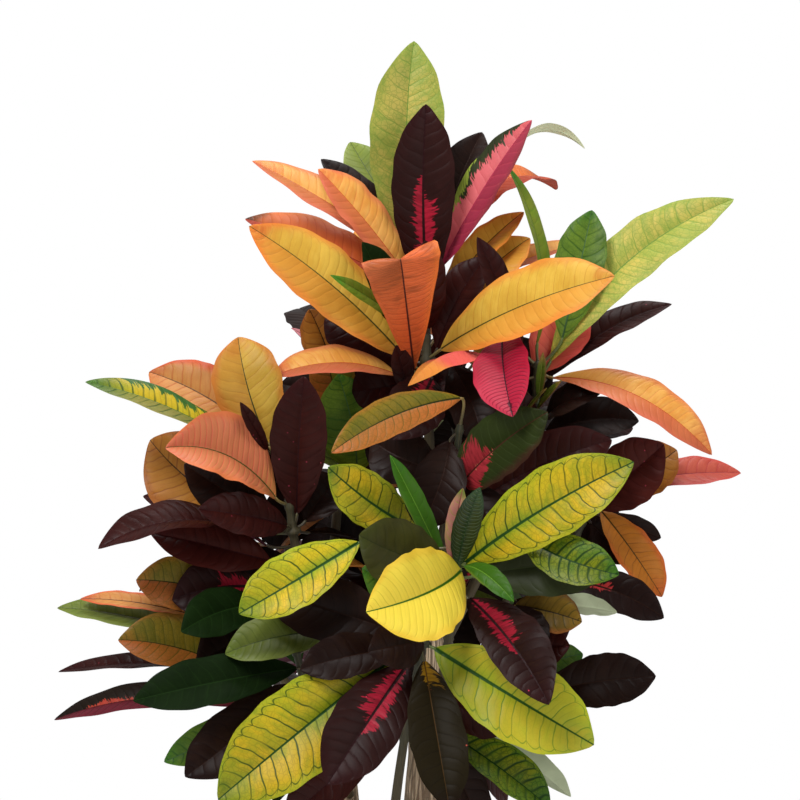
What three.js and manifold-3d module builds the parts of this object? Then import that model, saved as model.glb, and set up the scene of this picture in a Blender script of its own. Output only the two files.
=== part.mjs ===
// A potted croton: leafy shoots on three woody trunks, rooted in a plain round nursery pot.
// Millimetres, +Z up. The front view looks along +Y. The origin is the centre of the pot's underside.
import * as THREE from "three";
import { mergeVertices } from "three/addons/utils/BufferGeometryUtils.js";
import Module from "manifold-3d";

const wasm = await Module();
wasm.setup();

// Pot and soil
const POT_HEIGHT = 240;
const POT_BASE_RADIUS = 105;
const POT_TOP_RADIUS = 137;
const POT_WALL = 2.8;
const POT_FLOOR = 4;
const RIM_HEIGHT = 24;
const RIM_OVERHANG = 4;
const RIM_ROUNDING = 2;
const RIM_CHAMFER = 1;
const DRAIN_HOLES = 6;
const DRAIN_RADIUS = 7;
const DRAIN_CIRCLE = 74;
const SOIL_TOP = 212;
const SOIL_MOUND = 7;
const SOIL_SHOULDER = [0.6, 0.7]; // share of the radius, and of the mound's height there
const TURNED_SIDES = 28;
const DRAIN_SIDES = 8;

const FIT = 0.3; // the gap kept between two pieces that touch
const SCRAP = 0.05; // where leaves join their stem, edges that stray less than this are straightened

// Stems
const TRUNK_SIDES = 10;
const TRUNK_STEPS = 7;
const TRUNK_TAPER = 1.4;
const SHOOT_SIDES = 6;
const SHOOT_STEPS = 5;

// Leaves
const BLADE_THICKNESS = 1.0;
const PETIOLE_WIDTH = 3.4;
const PETIOLE_THICKNESS = 3;
const PETIOLE_SHARE = 0.12; // of the blade's length
const BLADE_STATIONS = [0.2, 0.52, 0.82];
const BASE_POWER = 0.85; // how fast the blade widens from its base
const TIP_POWER = 0.64; // and narrows to its tip
const FOLD_DEG = 13; // each half rises from the midrib, unless its row says otherwise
const CLEARANCE = 1.6; // between blades of different stems
const FREE_FROM = 0.2; // share of a blade that may meet its own rosette
const TWIST = 0.5; // radians at most from a blade's base to its tip, half of it each way
const TWIST_CENTRE = 0.4; // share of the blade where it isn't turned
const BEND = 0.2; // sideways, of the blade's width
const ROOTS = [0.3, 0.985]; // lowest and highest share of a stem that carries leaves
const ROOT_STEPS = 60;

// The front view that places stems and leaves: pixels, x to the right and y down, and a depth in mm
const VIEW_SCALE = 0.9; // mm for each pixel, in the plane of the pot's axis
const VIEW_MIDDLE = [400, 400]; // pixel
const VIEW_HEIGHT = 690; // mm, of the eye and of that pixel
const VIEW_DISTANCE = 3200; // mm, from the eye to the pot's axis

// Each stem is a cubic curve: four points of [x pixel, y pixel, depth], and its first and last radius
const TRUNKS = {
  trunk_centre: { route: [[425, 1018, 10], [424, 860, 8], [432, 740, 0], [432, 575, 0]], radii: [30, 8] },
  trunk_left: { route: [[352, 1016, -6], [349, 860, -6], [350, 760, 6], [330, 655, 10]], radii: [14, 7] },
  trunk_back: { route: [[470, 1012, 70], [470, 820, 70], [476, 720, 85], [480, 650, 95]], radii: [14, 6.5] },
};

const SHOOTS = {
  shoot_top: {
    route: [[432, 590, 0], [432, 480, 5], [426, 380, 0], [424, 258, 0]], radii: [6, 3],
    colour: 0xd98a34, rule: 5, reach: 185,
    leaves: [
      ["maroon_red", [427, 292], [426, 104], -25, 58, 0, 10],
      ["golden", [405, 358], [249, 226], -55, 60, 15, 12, { bend: 6 }],
      ["orange_red", [414, 372], [404, 306], -50, 70, 0, 0, { via: [401, 263, -95], twist: 0 }],
      ["golden", [440, 350], [615, 276], -105, 68, 30, 18],
      ["lime", [418, 276], [414, 41], 20, 70, 4, 10, { bend: -9 }],
      ["pink_mottled", [441, 268], [532, 120], -15, 50, 44, 8],
      ["orange", [414, 288], [318, 169], -30, 52, 48, 14],
      ["orange", [404, 256], [252, 161], 10, 50, 52, 14],
      ["orange_red", [400, 285], [245, 219], 25, 56, 48, 20],
      ["lime", [420, 258], [350, 142], 60, 50, 20, 12],
      ["black", [410, 258], [321, 159], 45, 40, 40, 14],
      ["black", [432, 262], [482, 132], 45, 48, 15, 8],
      ["orange_red", [462, 232], [556, 190], 35, 60, 56, 60],
      ["lime", [440, 262], [585, 149], 60, 20, 0, 0, { via: [518, 142, 40] }],
      ["golden", [442, 302], [524, 212], 20, 38, 40, 12],
      ["orange", [446, 306], [592, 244], 75, 42, 60, 22],
      ["golden", [444, 318], [530, 238], 45, 48, 25, 10],
      ["maroon", [437, 350], [486, 256], -20, 42, 25, 12],
      ["maroon", [428, 330], [425, 240], -45, 36, 15, 14],
      ["dark_green", [414, 345], [362, 242], -22, 40, 30, 10],
      ["bright_green", [412, 330], [330, 275], -70, 16, 30, 12],
      ["orange", [399, 376], [270, 377], -30, 42, 52, 34],
      ["maroon", [404, 360], [325, 318], 25, 48, 15, 10],
      ["maroon_red", [432, 378], [392, 440], -75, 54, 5, 12],
      ["black", [452, 365], [484, 446], -45, 46, 10, 14],
      ["maroon", [405, 383], [352, 392], 10, 42, 15, 12],
      ["maroon", [408, 392], [396, 345], -34, 22, 20, 6],
      ["black", [440, 404], [500, 440], 20, 50, 20, 10],
      ["black", [424, 424], [372, 470], 25, 52, 20, 10],
      ["maroon", [432, 404], [456, 334], 45, 44, 5, 10],
      ["maroon", [418, 402], [380, 338], 30, 48, 10, 8],
    ],
  },
  shoot_upper_right: {
    route: [[432, 665, 0], [490, 560, 14], [536, 460, 8], [538, 362, -8]], radii: [5.5, 3],
    colour: 0xe0803c, rule: 6, reach: 175,
    leaves: [
      ["crimson", [503, 334], [513, 417], -120, 56, -20, 12, { twist: 0.1, fold: 20 }],
      ["orange", [552, 378], [712, 455], -40, 44, 40, 58],
      ["lime", [550, 362], [734, 199], 5, 56, 28, 14, { bend: -20 }],
      ["coral", [537, 374], [576, 305], 30, 54, 12, 10],
      ["maroon", [545, 380], [672, 304], 10, 40, 50, 12, { bend: -8 }],
      ["coral_orange", [516, 378], [408, 386], -80, 50, 0, 0, { via: [460, 352, -60] }],
      ["bright_green", [537, 345], [506, 164], 5, 26, 60, 36],
      ["green_veined", [562, 340], [592, 210], 40, 48, 10, 8],
      ["maroon", [522, 350], [477, 237], -12, 28, 30, 6],
      ["black", [545, 418], [600, 394], -50, 42, 52, 16],
      ["black", [545, 432], [639, 421], -10, 48, 38, 22],
      ["maroon", [548, 446], [633, 428], 20, 42, 50, 18],
      ["young", [538, 400], [543, 352], -48, 9, 0, 6],
      ["young", [536, 412], [562, 380], -60, 7, 40, 6],
      ["young", [519, 424], [547, 388], -75, 6, 60, 4],
      ["maroon", [540, 440], [480, 400], -75, 50, 25, 16],
      ["black", [532, 416], [518, 336], 24, 50, 10, 8],
    ],
  },
  shoot_mid: {
    route: [[432, 615, 0], [436, 548, -40], [452, 500, -62], [460, 425, -68]], radii: [5, 3],
    colour: 0x3a3a22, rule: 4, reach: 150,
    leaves: [
      ["olive_red", [454, 494], [548, 412], -62, 54, 10, 10],
      ["golden_olive", [462, 398], [331, 453], -60, 36, 8, 14, { bend: 8 }],
      ["yellow_green", [417, 530], [328, 467], -45, 48, 12, 8],
      ["maroon", [480, 500], [612, 440], 10, 52, 15, 8],
      ["black", [450, 440], [420, 530], 15, 52, 10, 14],
      ["black", [440, 470], [372, 440], 10, 54, 10, 12],
      ["black", [462, 480], [500, 560], -30, 46, 20, 10],
    ],
  },
  shoot_left: {
    route: [[331, 668, 10], [300, 600, -10], [290, 530, -35], [284, 440, -45]], radii: [5.5, 3],
    colour: 0x6a2430, rule: 5, reach: 160,
    leaves: [
      ["coral_peach", [276, 499], [165, 448], -70, 74, 36, 12, { bend: 16, fold: 28 }],
      ["maroon", [297, 515], [304, 376], -25, 52, 4, 10],
      ["golden", [270, 448], [238, 337], 15, 64, 8, 16, { bend: -5 }],
      ["peach", [262, 440], [149, 372], 35, 56, 18, 10, { bend: 6 }],
      ["green_tipped", [255, 460], [85, 382], -5, 38, 58, 26],
      ["maroon", [268, 546], [98, 549], -60, 56, 68, 54],
      ["gold_brown", [262, 522], [150, 440], -25, 78, 8, 14, { bend: -9 }],
      ["black", [272, 520], [184, 464], -45, 50, 10, 10],
      ["black", [288, 526], [198, 509], -70, 40, 20, 18],
      ["maroon", [272, 562], [150, 533], -25, 52, 28, 10],
      ["black", [305, 522], [340, 478], 20, 44, 15, 12],
      ["maroon", [268, 452], [240, 402], -46, 13, 10, 8],
      ["green_veined", [262, 532], [138, 517], 20, 32, 40, 8],
      ["maroon", [258, 528], [143, 496], 45, 32, 45, 8],
      ["black", [286, 500], [246, 436], 20, 44, 10, 8],
      ["black", [292, 562], [226, 582], 30, 50, 20, 10],
    ],
  },
  shoot_left_back: {
    route: [[334, 686, 9], [322, 560, 62], [350, 450, 80], [350, 345, 90]], radii: [5.5, 3],
    colour: 0x4a2a20, rule: 6, reach: 165,
    leaves: [
      ["green_veined", [357, 474], [338, 374], -60, 64, 5, 10],
      ["gold_brown", [338, 392], [309, 309], -10, 44, 10, 8],
      ["maroon", [360, 380], [352, 305], -25, 50, 10, 8],
      ["pink", [336, 372], [291, 328], -10, 16, 60, 8],
      ["golden_olive", [338, 430], [322, 345], -35, 44, 10, 8],
      ["black", [330, 500], [262, 540], 0, 54, 20, 12],
      ["black", [338, 490], [385, 560], 10, 56, 10, 12],
      ["maroon", [352, 420], [404, 486], 15, 54, 10, 12],
      ["black", [345, 412], [280, 384], 10, 44, 20, 8],
    ],
  },
  shoot_centre: {
    route: [[431, 745, -5], [440, 690, -52], [456, 625, -108], [452, 545, -122]], radii: [5.5, 3],
    colour: 0xd8c030, rule: 3, reach: 120,
    leaves: [
      ["yellow", [461, 570], [366, 612], -95, 80, 0, 26],
      ["yellow_green", [464, 564], [634, 462], -55, 64, 12, 16],
      ["maroon_red", [468, 598], [549, 705], -112, 58, 22, 14, { fold: 24 }],
      ["bright_green", [464, 566], [514, 602], -60, 20, 25, 20],
      ["bright_green", [446, 568], [390, 455], -15, 22, 30, 8],
      ["dark_green", [476, 576], [610, 566], -20, 56, 10, 10],
      ["green_gold", [522, 536], [619, 575], -55, 44, 18, 10, { bend: 6 }],
      ["olive_dark", [444, 566], [359, 535], -25, 60, 5, 14],
      ["pink_green", [452, 566], [463, 488], -30, 18, 10, 6],
      ["green_streaked", [457, 568], [480, 487], -48, 24, 5, 6],
      ["green_veined", [438, 600], [362, 568], -30, 44, 10, 6],
      ["yellow_green", [360, 542], [239, 614], -30, 54, 22, 16],
    ],
  },
  shoot_bottom: {
    route: [[383, 1010, -36], [384, 850, -36], [402, 735, -85], [424, 640, -135]], radii: [5.5, 3],
    colour: 0xb8b838, rule: 4, reach: 150,
    leaves: [
      ["yellow_green", [396, 656], [218, 800], -50, 80, 8, 14],
      ["lime_yellow", [434, 648], [594, 745], -45, 74, 5, 14],
      ["maroon_red", [408, 664], [327, 785], -70, 62, 5, 16],
      ["dark_gold", [424, 660], [450, 812], -85, 50, 5, 16],
      ["black", [400, 650], [300, 670], -25, 42, 25, 16],
      ["black", [424, 642], [368, 652], -45, 44, 10, 10],
      ["black", [408, 636], [268, 592], 5, 60, 8, 12],
      ["green_gold", [446, 732], [550, 808], -25, 46, 30, 12, { fold: 28 }],
      ["black", [436, 725], [484, 832], 10, 40, 10, 8],
      ["pale_under", [452, 722], [571, 797], 15, 40, 130, 12],
      ["maroon", [446, 730], [507, 803], 40, 30, 40, 16],
      ["maroon", [432, 690], [500, 735], 0, 42, 30, 10],
      ["maroon", [384, 742], [285, 822], 25, 44, 20, 12],
    ],
  },
  shoot_left_low: {
    route: [[347, 772, -2], [312, 722, -16], [268, 670, -25], [240, 585, -30]], radii: [5, 3],
    colour: 0x5c4a1c, rule: 5, reach: 150,
    leaves: [
      ["golden_olive", [236, 672], [118, 640], -25, 60, 30, 10, { fold: 26 }],
      ["brown_dark", [238, 602], [136, 580], -10, 50, 12, 10],
      ["maroon_red", [262, 588], [172, 600], -35, 52, 12, 10],
      ["dark_green", [262, 606], [181, 632], -50, 46, 22, 14],
      ["olive", [222, 646], [57, 608], 5, 42, 56, 12],
      ["peach", [200, 618], [80, 599], 50, 24, 56, 8],
      ["maroon", [236, 672], [58, 672], 25, 32, 70, 14],
      ["black", [270, 640], [196, 664], -40, 52, 15, 12],
    ],
  },
  shoot_right_low: {
    route: [[428, 792, 4], [480, 732, 14], [525, 665, 0], [548, 580, -15]], radii: [5, 3],
    colour: 0x2e2420, rule: 5, reach: 150,
    leaves: [
      ["black", [540, 692], [656, 676], -10, 50, 10, 10],
      ["dark_spotted", [562, 580], [664, 618], -20, 38, 18, 14, { bend: -5 }],
      ["brown_dark", [514, 606], [582, 622], -30, 40, 15, 10],
      ["pale_under", [540, 606], [617, 612], -42, 30, 135, 8],
      ["maroon", [522, 652], [570, 646], -20, 38, 20, 8],
      ["green_veined", [525, 672], [583, 654], 10, 28, 20, 8],
      ["black", [500, 610], [540, 660], -20, 50, 10, 10],
    ],
  },
  shoot_right_mid: {
    route: [[432, 715, 0], [505, 640, 46], [572, 565, 62], [598, 485, 50]], radii: [5.5, 3],
    colour: 0x8a4a24, rule: 5, reach: 165,
    leaves: [
      ["orange_brown", [600, 510], [662, 597], -15, 44, 30, 14],
      ["maroon", [588, 505], [664, 444], -40, 60, 8, 14],
      ["coral", [620, 484], [741, 473], 15, 38, 45, 14],
      ["gold_brown", [612, 492], [677, 450], -5, 50, 12, 12],
      ["black", [590, 522], [629, 563], -15, 30, 15, 8],
      ["black", [600, 515], [661, 538], 15, 22, 20, 8],
      ["black", [575, 530], [520, 470], -20, 52, 15, 10],
      ["black", [576, 566], [604, 494], 20, 46, 10, 8],
    ],
  },
  shoot_front_left: {
    route: [[349, 795, -5], [330, 742, -50], [305, 700, -85], [292, 632, -100]], radii: [5, 3],
    colour: 0x26301c, rule: 3, reach: 130,
    leaves: [
      ["dark_green", [298, 668], [133, 701], -40, 50, 30, 24],
      ["olive", [334, 632], [225, 654], -20, 44, 25, 14, { bend: 3 }],
      ["black", [294, 684], [185, 777], -35, 54, 12, 14],
      ["maroon_red", [276, 710], [54, 720], 30, 38, 56, 44],
      ["green_veined", [286, 700], [164, 762], 5, 36, 15, 8],
      ["black", [320, 640], [350, 580], -20, 54, 10, 10],
    ],
  },
  shoot_back_top: {
    route: [[432, 632, 4], [445, 545, 55], [462, 430, 88], [462, 315, 96]], radii: [5.5, 3],
    colour: 0xd09038, rule: 20, reach: 165,
    leaves: [
      ["black", [455, 420], [410, 352], -20, 56, 10, 10],
      ["maroon", [468, 440], [430, 506], -20, 56, 10, 10],
      ["black", [455, 470], [366, 455], 0, 54, 15, 12],
      ["black", [470, 470], [545, 470], -10, 52, 15, 12],
    ],
  },
  shoot_back_left: {
    route: [[343, 724, 6], [308, 650, 80], [285, 560, 128], [280, 470, 138]], radii: [5.5, 3],
    colour: 0x7a3428, rule: 20, reach: 165, leaves: [],
  },
  shoot_back_right: {
    route: [[480, 662, 94], [505, 600, 112], [535, 530, 128], [535, 435, 134]], radii: [5.5, 3],
    colour: 0xa05a2c, rule: 20, reach: 165,
    leaves: [
      ["black", [505, 600], [455, 560], -20, 54, 10, 10],
      ["maroon", [515, 600], [560, 650], -20, 54, 15, 10],
    ],
  },
  shoot_back_low: {
    route: [[473, 780, 76], [430, 735, 112], [400, 680, 138], [392, 600, 150]], radii: [5.5, 3],
    colour: 0x3c4420, rule: 20, reach: 165,
    leaves: [
      ["black", [395, 640], [350, 556], -30, 56, 10, 10],
      ["maroon", [405, 650], [458, 586], -30, 56, 10, 10],
      ["black", [430, 700], [468, 606], -40, 56, 10, 10],
    ],
  },
  shoot_back_centre: {
    route: [[478, 700, 88], [440, 625, 135], [400, 540, 165], [385, 455, 172]], radii: [5.5, 3],
    colour: 0x6a3a30, rule: 20, reach: 165, leaves: [],
  },
};

// The foliage's outline from the front, as [y pixel, left x pixel, right x pixel]: rule leaves end inside it
const OUTLINE = [
  [60, 395, 435], [140, 350, 475], [200, 330, 545], [260, 275, 600], [330, 300, 600], [368, 285, 600],
  [388, 170, 600], [440, 165, 635], [520, 140, 620], [600, 120, 590], [660, 130, 560], [720, 190, 565],
  [800, 250, 540], [860, 300, 500],
];

// Rule leaves go round a stem by the golden angle. A pair holds a first value and how much is added to it
const GOLDEN_ANGLE = 137.5;
const RULE_TRIES = 24;
const RULE_LOWEST = 315; // mm above the ground
const RULE_SHARE = [0.5, 0.48]; // of the stem, from the lowest leaf on
const RULE_TURN = 60; // degrees, of the lowest leaf
const RULE_SWAY = 50;
const BACK_ARC = [20, 140]; // degrees, for stems that have their leaves away from the viewer
const RULE_PETIOLE = 24;
const RULE_RAISE = 4;
const RULE_LIFT = [-70, 125]; // degrees, from the lowest leaf to the highest
const RULE_LIFT_SPREAD = 40;
const RULE_LENGTH = [0.8, 0.25]; // of the stem's reach
const RULE_WIDTH = [0.27, 0.06]; // of the leaf's length
const RULE_ROLL = 70;
const RULE_ARCH = 0.17;
const RULE_BLACK = 0.6; // share of near-black leaves behind the front stems
const BACK_KINDS = [
  ["golden", "orange", "lime", "maroon_red", "orange_red", "green_veined", "coral"],
  ["yellow_green", "maroon", "black", "gold_brown", "maroon_red", "dark_green", "olive"],
];
const KIND_SPLIT = 470; // y pixel: brighter leaves grow above it

const DEPTH_STEPS = [0, -12, 12, -24, 24, -36, 36, -50, 50, -65, 65, -80, 80];

const RADIANS = Math.PI / 180;
const AWAY = new THREE.Vector3(0, 1, 0);
const UP = new THREE.Vector3(0, 0, 1);

function seen([x, y], depth) {
  const scale = VIEW_SCALE * (VIEW_DISTANCE + depth) / VIEW_DISTANCE;
  return new THREE.Vector3((x - VIEW_MIDDLE[0]) * scale, depth, VIEW_HEIGHT + (VIEW_MIDDLE[1] - y) * scale);
}

function makeRandom(seed) {
  let state = seed;
  return () => {
    state = (state * 1664525 + 1013904223) % 4294967296;
    return state / 4294967296;
  };
}

function solidOf(points, triangles) {
  const vertProperties = new Float32Array(points.flatMap((point) => [point.x, point.y, point.z]));
  const triVerts = new Uint32Array(triangles.flat());
  return new wasm.Manifold(new wasm.Mesh({ numProp: 3, vertProperties, triVerts }));
}

function geometryOf(solid) {
  const mesh = solid.getMesh();
  const geometry = new THREE.BufferGeometry();
  geometry.setAttribute("position", new THREE.BufferAttribute(new Float32Array(mesh.vertProperties), 3));
  geometry.setIndex(new THREE.BufferAttribute(new Uint32Array(mesh.triVerts), 1));
  geometry.computeVertexNormals();
  return geometry;
}

function largestBody(solid) {
  return solid.decompose().reduce((best, body) => (body.volume() > best.volume() ? body : best));
}

// Stems

function routeAt(route, share) {
  const rest = 1 - share;
  const weights = [rest ** 3, 3 * rest ** 2 * share, 3 * rest * share ** 2, share ** 3];
  return [0, 1, 2].map((axis) => weights.reduce((sum, weight, i) => sum + weight * route[i][axis], 0));
}

function stemPoint(route, share) {
  const [x, y, depth] = routeAt(route, share);
  return seen([x, y], depth);
}

function stemSolid({ route, radii }, sides, steps, taper, extra) {
  const points = [];
  const triangles = [];
  for (let step = 0; step <= steps; step += 1) {
    const share = step / steps;
    const centre = stemPoint(route, share);
    const ahead = stemPoint(route, Math.min(share + 0.01, 1));
    const along = ahead.sub(stemPoint(route, Math.max(share - 0.01, 0))).normalize();
    if (step === 0 || step === steps) {
      centre.addScaledVector(along, step === 0 ? -extra : extra);
    }
    const across = new THREE.Vector3().crossVectors(along, AWAY).normalize();
    const other = new THREE.Vector3().crossVectors(along, across);
    const radius = radii[0] + (radii[1] - radii[0]) * share ** taper + extra;
    for (let side = 0; side < sides; side += 1) {
      const angle = side * 2 * Math.PI / sides;
      points.push(centre.clone()
        .addScaledVector(across, radius * Math.cos(angle))
        .addScaledVector(other, radius * Math.sin(angle)));
    }
  }
  for (let step = 0; step < steps; step += 1) {
    for (let side = 0; side < sides; side += 1) {
      const next = (side + 1) % sides;
      const here = step * sides;
      const above = here + sides;
      triangles.push([here + side, here + next, above + next], [here + side, above + next, above + side]);
    }
  }
  const last = steps * sides;
  for (let side = 1; side < sides - 1; side += 1) {
    triangles.push([0, side + 1, side], [last, last + side, last + side + 1]);
  }
  return solidOf(points, triangles);
}

// Leaves: a midrib curve, a sideways direction, and a blade that is folded a little along the midrib

function halfWidthAt(width, share) {
  const widest = BASE_POWER / (BASE_POWER + TIP_POWER);
  const peak = widest ** BASE_POWER * (1 - widest) ** TIP_POWER;
  return 0.5 * width * share ** BASE_POWER * (1 - share) ** TIP_POWER / peak;
}

function bladeFrame(leaf, share) {
  const { base, control, tip, side, twist } = leaf;
  const rest = 1 - share;
  const point = base.clone().multiplyScalar(rest * rest)
    .addScaledVector(control, 2 * rest * share)
    .addScaledVector(tip, share * share);
  const along = control.clone().sub(base).multiplyScalar(rest)
    .addScaledVector(tip.clone().sub(control), share).normalize();
  const flat = new THREE.Vector3().crossVectors(side, along).normalize();
  const turn = twist * (share - TWIST_CENTRE);
  const across = side.clone().multiplyScalar(Math.cos(turn)).addScaledVector(flat, Math.sin(turn));
  const normal = flat.clone().multiplyScalar(Math.cos(turn)).addScaledVector(side, -Math.sin(turn));
  return { point, across, normal };
}

function bladeSection(leaf, share, grow) {
  const { point, across, normal } = bladeFrame(leaf, share);
  const half = halfWidthAt(leaf.width, share) + grow;
  const thick = BLADE_THICKNESS / 2 + grow;
  const spread = half * Math.cos(leaf.fold * RADIANS);
  const rise = half * Math.sin(leaf.fold * RADIANS);
  const place = (sideways, up) => point.clone().addScaledVector(across, sideways).addScaledVector(normal, up);
  return [
    place(-spread, rise + thick), place(0, thick), place(spread, rise + thick),
    place(-spread, rise - thick), place(0, -thick), place(spread, rise - thick),
  ];
}

function petioleSection(point, side, along, grow) {
  const normal = new THREE.Vector3().crossVectors(side, along).normalize();
  const half = PETIOLE_WIDTH / 2 + grow;
  const thick = PETIOLE_THICKNESS / 2 + grow;
  const place = (sideways, up) => point.clone().addScaledVector(side, sideways).addScaledVector(normal, up);
  return [place(-half, thick), place(half, thick), place(0, -thick)];
}

// Blade sections hold their left, middle and right points, first on the upper face and then on the lower
function bladeTriangles(count) {
  const triangles = [];
  for (let section = 0; section < count - 1; section += 1) {
    const here = section * 6;
    const next = here + 6;
    triangles.push(
      [here, here + 1, next + 1], [here, next + 1, next],
      [here + 1, here + 2, next + 2], [here + 1, next + 2, next + 1],
      [here + 3, next + 4, here + 4], [here + 3, next + 3, next + 4],
      [here + 4, next + 5, here + 5], [here + 4, next + 4, next + 5],
      [here, next, next + 3], [here, next + 3, here + 3],
      [here + 2, next + 5, next + 2], [here + 2, here + 5, next + 5],
    );
  }
  const last = (count - 1) * 6;
  const tipTop = count * 6;
  const tipFoot = tipTop + 1;
  triangles.push(
    [last, last + 1, tipTop], [last + 1, last + 2, tipTop],
    [last + 3, tipFoot, last + 4], [last + 4, tipFoot, last + 5],
    [last, tipTop, tipFoot], [last, tipFoot, last + 3],
    [last + 2, tipFoot, tipTop], [last + 2, last + 5, tipFoot],
  );
  return triangles;
}

function petioleTriangles(first) {
  const [rootLeft, rootRight, rootFoot, left, right, foot] = [0, 1, 2, 3, 4, 5].map((i) => first + i);
  return [
    [rootLeft, rootFoot, rootRight],
    [rootLeft, rootRight, right], [rootLeft, right, left],
    [rootRight, rootFoot, foot], [rootRight, foot, right],
    [rootFoot, rootLeft, left], [rootFoot, left, foot],
    [left, 1, 0], [left, right, 1], [right, 2, 1],
    [left, 0, 3], [right, 5, 2],
    [left, 3, 4], [left, 4, foot], [foot, 4, right], [right, 4, 5],
  ];
}

// The whole leaf, or with from above 0 only the part of its blade beyond that share of its length
function leafSolid(leaf, grow, from) {
  const sections = BLADE_STATIONS.map((share) => bladeSection(leaf, Math.max(share, from), grow));
  const { point, normal } = bladeFrame(leaf, 1);
  const thick = BLADE_THICKNESS / 2 + grow;
  const points = sections.flat();
  points.push(point.clone().addScaledVector(normal, thick), point.clone().addScaledVector(normal, -thick));
  const triangles = bladeTriangles(sections.length);
  if (from > 0) {
    triangles.push([0, 3, 4], [0, 4, 1], [1, 4, 5], [1, 5, 2]);
  } else {
    triangles.push(...petioleTriangles(points.length));
    const petiole = leaf.base.clone().sub(leaf.root);
    const blade = leaf.control.clone().sub(leaf.base);
    points.push(...petioleSection(leaf.root, leaf.side, petiole, grow));
    points.push(...petioleSection(leaf.base, leaf.side, blade, grow));
  }
  return solidOf(points, triangles);
}

function nearestShare(route, [x, y]) {
  let best = ROOTS[0];
  let closest = Infinity;
  for (let step = 0; step <= ROOT_STEPS; step += 1) {
    const share = ROOTS[0] + (ROOTS[1] - ROOTS[0]) * step / ROOT_STEPS;
    const at = routeAt(route, share);
    const gap = (at[0] - x) ** 2 + (at[1] - y) ** 2;
    if (gap < closest) {
      closest = gap;
      best = share;
    }
  }
  return best;
}

// A leaf that the front view shows: its depth is shifted along the line of sight, so its outline stays
function placedLeaf(route, row, random, shift) {
  const [kind, basePixel, tipPixel, depth, width, rollDeg, arch, more = {}] = row;
  const behind = basePixel.map((value, axis) => value + PETIOLE_SHARE * (value - tipPixel[axis]));
  const share = nearestShare(route, behind);
  const rootDepth = routeAt(route, share)[2];
  const root = stemPoint(route, share);
  const tip = seen(tipPixel, rootDepth + depth + shift);
  const base = seen(basePixel, rootDepth + (depth + shift) * PETIOLE_SHARE);
  const chord = tip.clone().sub(base).normalize();
  const bend = more.bend ?? BEND * width * (random() - 0.5);
  const facing = AWAY.clone().multiplyScalar(-1).addScaledVector(chord, AWAY.dot(chord)).normalize();
  let control;
  let side;
  if (more.via) {
    const via = seen([more.via[0], more.via[1]], rootDepth + more.via[2] + shift);
    control = via.multiplyScalar(2).addScaledVector(base, -0.5).addScaledVector(tip, -0.5);
    const first = control.clone().sub(base);
    side = new THREE.Vector3().crossVectors(first, tip.clone().sub(control)).normalize();
    if (new THREE.Vector3().crossVectors(side, first).dot(AWAY) > 0) {
      side.multiplyScalar(-1);
    }
  } else {
    const sense = chord.x < 0 ? -1 : 1;
    const upward = new THREE.Vector3().crossVectors(facing, chord).multiplyScalar(sense);
    const roll = rollDeg * RADIANS;
    const normal = facing.multiplyScalar(Math.cos(roll)).addScaledVector(upward, Math.sin(roll));
    side = new THREE.Vector3().crossVectors(chord, normal).normalize();
    control = base.clone().add(tip).multiplyScalar(0.5)
      .addScaledVector(normal, arch).addScaledVector(side, 2 * bend);
  }
  const twist = more.twist ?? TWIST * (random() - 0.5);
  const fold = more.fold ?? FOLD_DEG;
  return { kind, root, base, control, tip, side, width, twist, fold };
}

function outlineAt(y) {
  const next = OUTLINE.findIndex((row) => row[0] >= y);
  if (next <= 0) {
    return next === 0 ? OUTLINE[0].slice(1) : OUTLINE[OUTLINE.length - 1].slice(1);
  }
  const [low, high] = [OUTLINE[next - 1], OUTLINE[next]];
  const share = (y - low[0]) / (high[0] - low[0]);
  return [1, 2].map((side) => low[side] + (high[side] - low[side]) * share);
}

function insideOutline(point) {
  const scale = VIEW_SCALE * (VIEW_DISTANCE + point.y) / VIEW_DISTANCE;
  const x = VIEW_MIDDLE[0] + point.x / scale;
  const y = VIEW_MIDDLE[1] + (VIEW_HEIGHT - point.z) / scale;
  const [left, right] = outlineAt(y);
  return y >= OUTLINE[0][0] && x >= left && x <= right && point.z >= RULE_LOWEST;
}

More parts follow.
